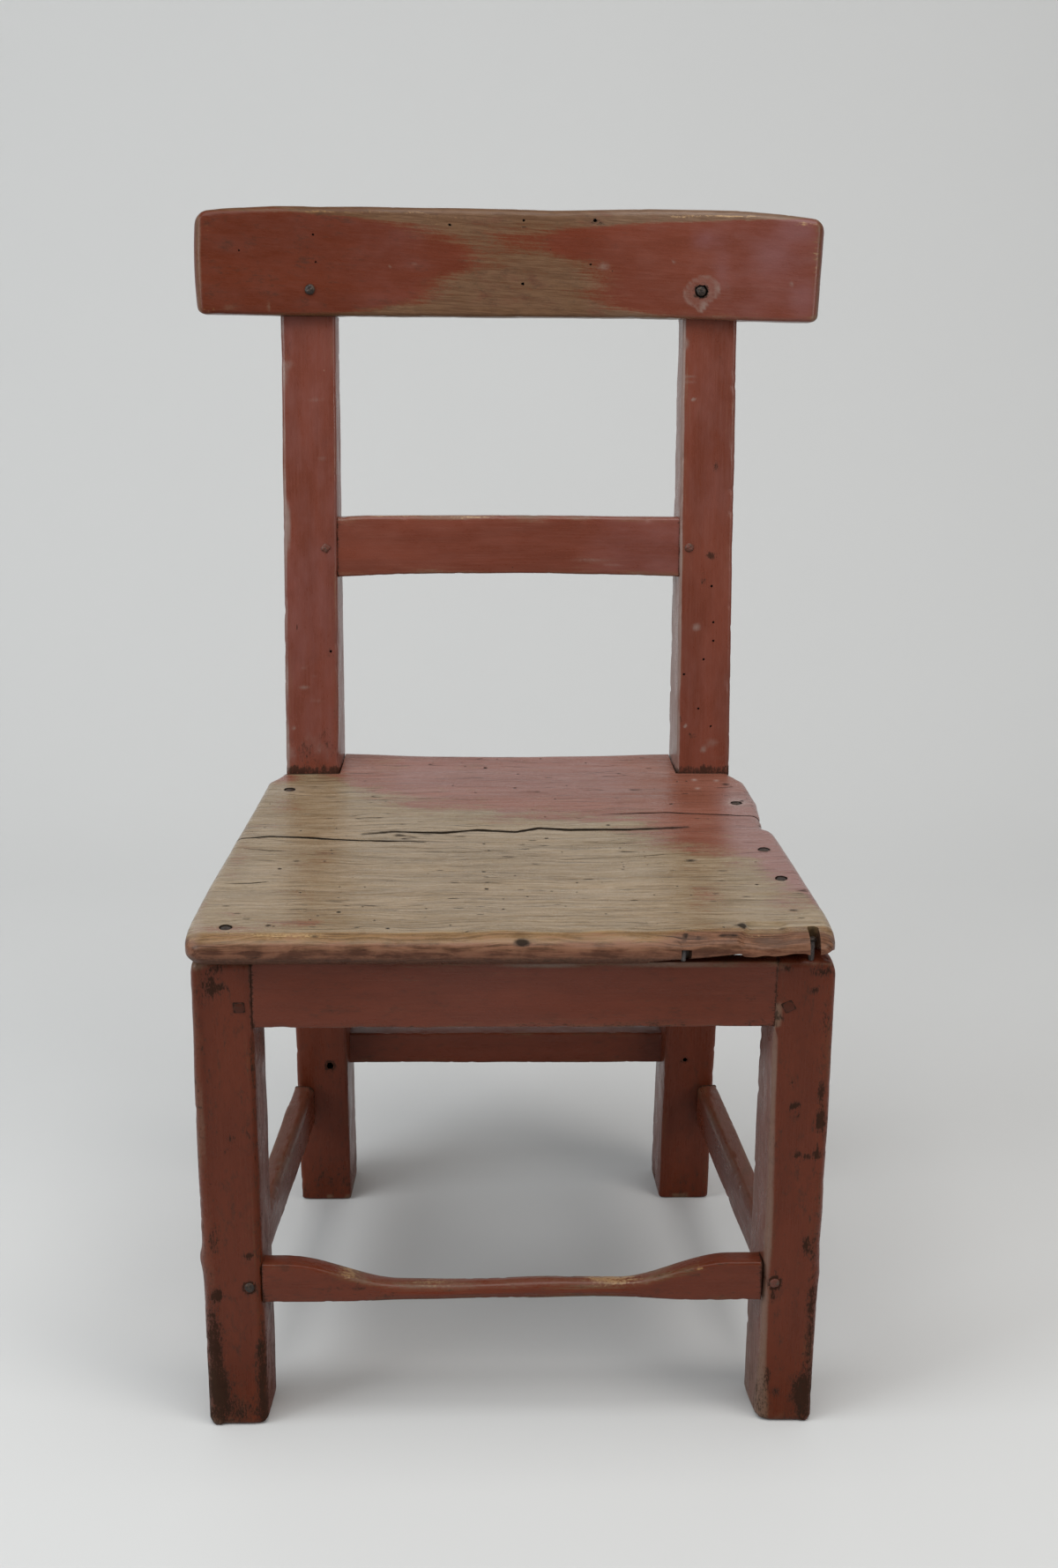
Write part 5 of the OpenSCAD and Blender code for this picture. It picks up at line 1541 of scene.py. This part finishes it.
# Oil paint over old hardwood, worn through at the edges, with grime in the joints
def painted_wood(name, reds, thin, bare, holes=0.08):
    n = Nodes(name)
    broad = n.noise((130, 24, 24), 3)
    blot = n.noise((34, 15, 15), 4, 0.65)
    streak = n.noise((50, 1.8, 1.8), 4, 0.66)
    fibre = n.noise((16, 0.9, 0.9), 3)
    speck = n.noise((2.4, 1.8, 1.8), 2)
    mottle = n.noise((11, 6, 6), 4, 0.7)
    crumb = n.noise((3.6, 1.4, 1.4), 4, 0.75)
    soot = n.attribute("soot")
    wear = n.sum(n.attribute("wear"), (streak, 1.1), (fibre, 0.5), (speck, 0.40), (blot, 0.5), (crumb, 0.5))
    worn = n.ramp(wear, 0.42, 0.92)
    # Three reds, the faded paint with its painted sheen, the thin paint, the wood that shows where it is worn
    # through, and golden wear and pale rubs with painted highlights
    colour = n.blend(reds[0], reds[1], n.ramp(n.sum(broad, (blot, 0.4)), 0.32, 0.68))
    wood = n.blend(bare[0], bare[1], n.ramp(n.sum(streak, (fibre, 0.9)), 0.32, 0.68))
    wood = n.blend(wood, reds[1], n.ramp(blot, 0.55, 0.75), 0.45)
    for coat, mask, strength in (
        (reds[2], n.ramp(streak, 0.45, 0.80), 0.45),
        (FADED_PAINT_AND_SHEEN, n.ramp(n.sum(n.attribute("fade"), (blot, 0.5)), 0.1, 0.9), 0.8),
        (thin, n.ramp(wear, 0.20, 0.60), 0.5),
        (wood, worn, 1.0),
        (GOLDEN_WEAR_AND_HIGHLIGHT, n.ramp(n.sum(n.attribute("golden"), (streak, 0.9), (speck, 0.9)), 0.42, 0.80), 0.9),
        (PALE_RUB_AND_HIGHLIGHT, n.ramp(n.sum(n.attribute("pale"), (blot, 0.45), (speck, 0.3)), 0.12, 0.95), 0.75),
        (CHIPPED_PAINT, n.holes(17.0, 0.10, 0.9, 1.6), 0.55),
    ):
        colour = n.blend(colour, coat, mask, strength)
    # Painted shade darkens the whole, most low down, below the seat and on faces turned from the window, and
    # dirt gathers in patches where the painted shade is strongest
    shaded = n.vector("MULTIPLY", colour, SHADE_TINT)
    colour = n.blend(colour, shaded, n.sum(soot, (broad, 0.25), (mottle, 0.25)))
    patch = n.ramp(n.sum(mottle, (blot, 0.7), (crumb, 0.7), (streak, 0.5)), 0.52, 0.82)
    colour = n.blend(colour, SMOKE_PATCH, n.times(patch, n.calc("MULTIPLY_ADD", soot, 0.60, 0.02)))
    hole = n.most(n.holes(13.0, holes, 0.6), n.holes(10.0, holes, 0.45, 7.0))
    # Dirt, with the painted shade that the grime attribute carries
    grime = n.sum(n.attribute("grime"), (blot, 0.5), (mottle, 1.0), (crumb, 2.1), (streak, 0.5))
    dirt_and_shade = n.most(n.ramp(grime, 0.52, 1.05), hole)
    colour = n.blend(colour, DARK_DIRT_AND_SHADE, dirt_and_shade, 0.80)
    # The faces of the cuts are darkened: painted shade, with dirt in the hollows
    colour = n.blend(colour, HOLE_DARK, n.attribute("hollow"))
    rough = n.calc("ADD", n.ramp(n.sum(blot, (streak, 0.5)), 0.3, 0.7, 0.25, 0.42), n.times(dirt_and_shade, 0.35))
    rough = n.calc("ADD", rough, n.times(worn, 0.06), clamp=True)
    height = n.sum(0.0, (streak, 0.5), (fibre, 0.22), (speck, 0.30), (blot, 0.9))
    height = n.calc("SUBTRACT", height, n.times(worn, 0.35))
    height = n.calc("SUBTRACT", height, n.times(hole, 2.0))
    dull = n.most(n.times(soot, 0.8), dirt_and_shade)
    return n.finish(colour, rough, height, 0.22, specular=n.calc("MULTIPLY_ADD", dull, -0.33, 0.36))


# The seat's wood, scrubbed bare, with streaks of the grain, worm holes and the last of the paint
def scrubbed_wood(name):
    n = Nodes(name)
    through = 400
    bend = n.calc("MULTIPLY_ADD", n.noise((120, 60, 30), 2), 0.026, -0.013)
    bent = n.vector("ADD", n.grain, n.add("ShaderNodeCombineXYZ", {1: bend}).outputs[0])
    broad = n.noise((240, 22, 30), 3, at=bent)
    figure = n.noise((190, 3.4, 12), 4, 0.70, at=bent)
    streak = n.noise((60, 1.4, 5), 4, 0.66, at=bent)
    fibre = n.noise((10, 0.8, 2), 3)
    blot = n.noise((26, 16, 20), 4, 0.65)
    speck = n.noise((2.2, 1.6, 3), 2)
    nose = n.attribute("nose")
    wear = n.sum(n.attribute("wear"), (streak, 0.8), (blot, 0.9), (speck, 0.5), (broad, 0.4), (fibre, 0.3))
    # Bare wood with pale and dark lines, stained where paint was scrubbed off last
    figured = n.ramp(n.sum(figure, (streak, 1.0), (broad, 0.6)), 0.30, 0.66)
    wood = n.blend((0.186, 0.129, 0.076), (0.276, 0.200, 0.126), figured)
    wood = n.blend(wood, (0.36, 0.290, 0.210), n.ramp(n.sum(streak, (fibre, 1.0)), 0.54, 0.76), 0.55)
    dark_line = n.ramp(n.sum(streak, (figure, 0.5), (fibre, 0.9)), 0.40, 0.25)
    wood = n.blend(wood, (0.075, 0.052, 0.034), dark_line, 0.75)
    wood = n.blend((0.152, 0.108, 0.052), wood, n.calc("MULTIPLY_ADD", n.ramp(wear, 0.45, 1.30), 0.62, 0.38))
    red = n.blend((0.152, 0.051, 0.030), (0.208, 0.080, 0.054), n.ramp(n.sum(streak, (broad, 0.8)), 0.3, 0.7))
    # Faded paint and painted sheen on the paint that is left
    red = n.blend(red, (0.22, 0.120, 0.110), n.attribute("fade"), 0.7)
    colour = n.blend(red, wood, n.ramp(wear, 0.30, 0.80))
    # The nosing, brown on top and redder below, worn wood with painted shade on its front and lower faces
    mixed = n.sum(streak, (blot, 0.8))
    brown = n.blend((0.110, 0.055, 0.022), (0.275, 0.166, 0.064), n.ramp(mixed, 0.32, 0.68))
    red_brown = n.blend((0.066, 0.028, 0.017), (0.175, 0.078, 0.046), n.ramp(mixed, 0.35, 0.65))
    brown = n.blend(brown, red_brown, n.ramp(n.sum(nose, (blot, 0.5), (streak, 0.4)), 0.42, 0.78))
    colour = n.blend(colour, brown, n.ramp(n.sum(nose, (blot, 0.35), (speck, 0.2)), 0.05, 0.50), 0.9)
    # A golden line along the front arris: worn wood with a painted highlight
    gold = n.ramp(n.sum(n.attribute("golden"), (streak, 0.8), (speck, 1.0)), 0.40, 0.85)
    colour = n.blend(colour, (0.38, 0.25, 0.12), gold, 0.8)
    colour = n.blend(colour, (0.40, 0.33, 0.29), n.attribute("pale"), 0.6)
    # Worm holes, dashes, splits, pores and threads of dark grain hold the dirt
    on_top = n.ramp(nose, 0.5, 0.2)
    hole = n.most(n.holes(8.0, 0.20, 1.05, 1.2, through), n.holes(22.0, 0.45, 1.8, 1.2, through))
    hole = n.times(hole, on_top)
    dash = n.most(n.holes(6.0, 0.20, 0.75, 5.0, through), n.holes(12.0, 0.34, 1.2, 4.5, through))
    dash = n.times(dash, on_top)
    contour = n.calc("ABSOLUTE", n.calc("SUBTRACT", n.noise((150, 13, 30), 2, at=bent), 0.5))
    split = n.times(n.ramp(contour, 0.010, 0.003), n.ramp(n.noise((60, 40, 30), 2), 0.54, 0.62))
    pore = n.ramp(n.sum(fibre, (streak, 0.4)), 0.36, 0.20)
    thread = n.times(n.ramp(n.noise((52, 1.5, 6), 2, 0.6, at=bent), 0.385, 0.30), on_top)
    grime = n.ramp(n.sum(n.attribute("grime"), (blot, 0.6), (streak, 0.5), (speck, 0.3)), 0.45, 1.0)
    # The faces of the cuts are darkened with it: painted shade, with dirt in the hollows
    dirt_and_shade = n.most(grime, hole, n.times(dash, 0.8), n.times(split, 0.85), n.times(pore, 0.55),
                  n.times(thread, 0.60), n.attribute("hollow"))
    colour = n.blend(colour, (0.013, 0.009, 0.007), dirt_and_shade, 0.93)
    rough = n.ramp(n.sum(blot, (figure, 0.6)), 0.3, 0.7, 0.17, 0.32)
    rough = n.calc("ADD", rough, n.times(dirt_and_shade, 0.3), clamp=True)
    height = n.sum(0.0, (figure, 0.8), (streak, 0.8), (fibre, 0.25), (speck, 0.2), (blot, 0.5))
    height = n.calc("SUBTRACT", height, n.times(n.most(hole, dash), 2.0))
    dull = n.most(n.times(n.ramp(nose, 0.2, 0.8), 0.9), dirt_and_shade)
    return n.finish(colour, rough, height, 0.30, specular=n.calc("MULTIPLY_ADD", dull, -0.44, 0.5))


# Rusted iron, and iron that was painted over
def forged_iron(name, paint=0.0):
    n = Nodes(name)
    blot = n.noise((3.5, 3.5, 3.5), 4, 0.65)
    speck = n.noise((0.9, 0.9, 0.9), 2)
    rust = n.ramp(n.sum(blot, (speck, 0.5)), 0.4, 0.75)
    colour = n.blend((0.020, 0.015, 0.013), (0.075, 0.045, 0.030), rust)
    bright = n.ramp(n.sum(n.attribute("wear"), (speck, 0.7)), 0.35, 0.95)
    colour = n.blend(colour, (0.19, 0.17, 0.165), bright, 0.7)
    colour = n.blend(colour, (0.115, 0.035, 0.022), n.ramp(n.sum(blot, (speck, 0.3)), 0.66, 0.50), paint)
    colour = n.blend(colour, (0.010, 0.008, 0.007), n.ramp(n.attribute("grime"), 0.5, 1.0), 0.85)
    rough = n.ramp(blot, 0.3, 0.7, 0.30, 0.55)
    height = n.sum(0.0, (blot, 1.0), (speck, 0.6))
    return n.finish(colour, rough, height, 0.35, metallic=0.1 * (1 - paint), specular=0.28)


MATERIALS = {
    "painted_wood": painted_wood(
        "old_red_paint", [(0.122, 0.030, 0.016), (0.152, 0.038, 0.021), (0.172, 0.049, 0.030)],
        (0.150, 0.054, 0.028), [(0.114, 0.061, 0.035), (0.160, 0.091, 0.054)]),
    "peg_wood": painted_wood(
        "peg_paint", [(0.070, 0.020, 0.012), (0.092, 0.026, 0.016), (0.115, 0.038, 0.024)],
        (0.110, 0.045, 0.026), [(0.070, 0.034, 0.020), (0.140, 0.076, 0.044)], holes=0.0),
    "seat_wood": scrubbed_wood("scrubbed_seat"),
    "iron": forged_iron("rusted_iron"),
    "painted_iron": forged_iron("painted_iron", 0.9),
}
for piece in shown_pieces():
    piece.data.materials.clear()
    piece.data.materials.append(MATERIALS[FINISH[piece.name]])

# Plain floor that sweeps up behind the chair, in metres
FLOOR_HALF = 6.0
FLOOR_BACK = 0.9
SWEEP_RADIUS = 1.1
BACKDROP_TOP = 3.6


def sweep():
    profile = [(-FLOOR_HALF, 0.0)]
    for a in np.linspace(0, math.pi / 2, 17):
        profile.append((FLOOR_BACK + SWEEP_RADIUS * math.sin(a), SWEEP_RADIUS * (1 - math.cos(a))))
    profile.append((FLOOR_BACK + SWEEP_RADIUS, BACKDROP_TOP))
    points = [(x, y, z) for y, z in profile for x in (-FLOOR_HALF, FLOOR_HALF)]
    faces = [(2 * i, 2 * i + 1, 2 * i + 3, 2 * i + 2) for i in range(len(profile) - 1)]
    mesh = bpy.data.meshes.new("floor")
    mesh.from_pydata(points, [], faces)
    mesh.shade_smooth()
    floor = link("floor", mesh)
    n = Nodes("pale_floor")
    texture = n.noise((400, 400, 400), 2, at=n.add("ShaderNodeNewGeometry", {}).outputs["Position"])
    colour = n.blend((0.575, 0.575, 0.57), (0.59, 0.59, 0.585), texture)
    mesh.materials.append(n.finish(colour, 0.8, texture, 0.05, specular=0.3))


sweep()
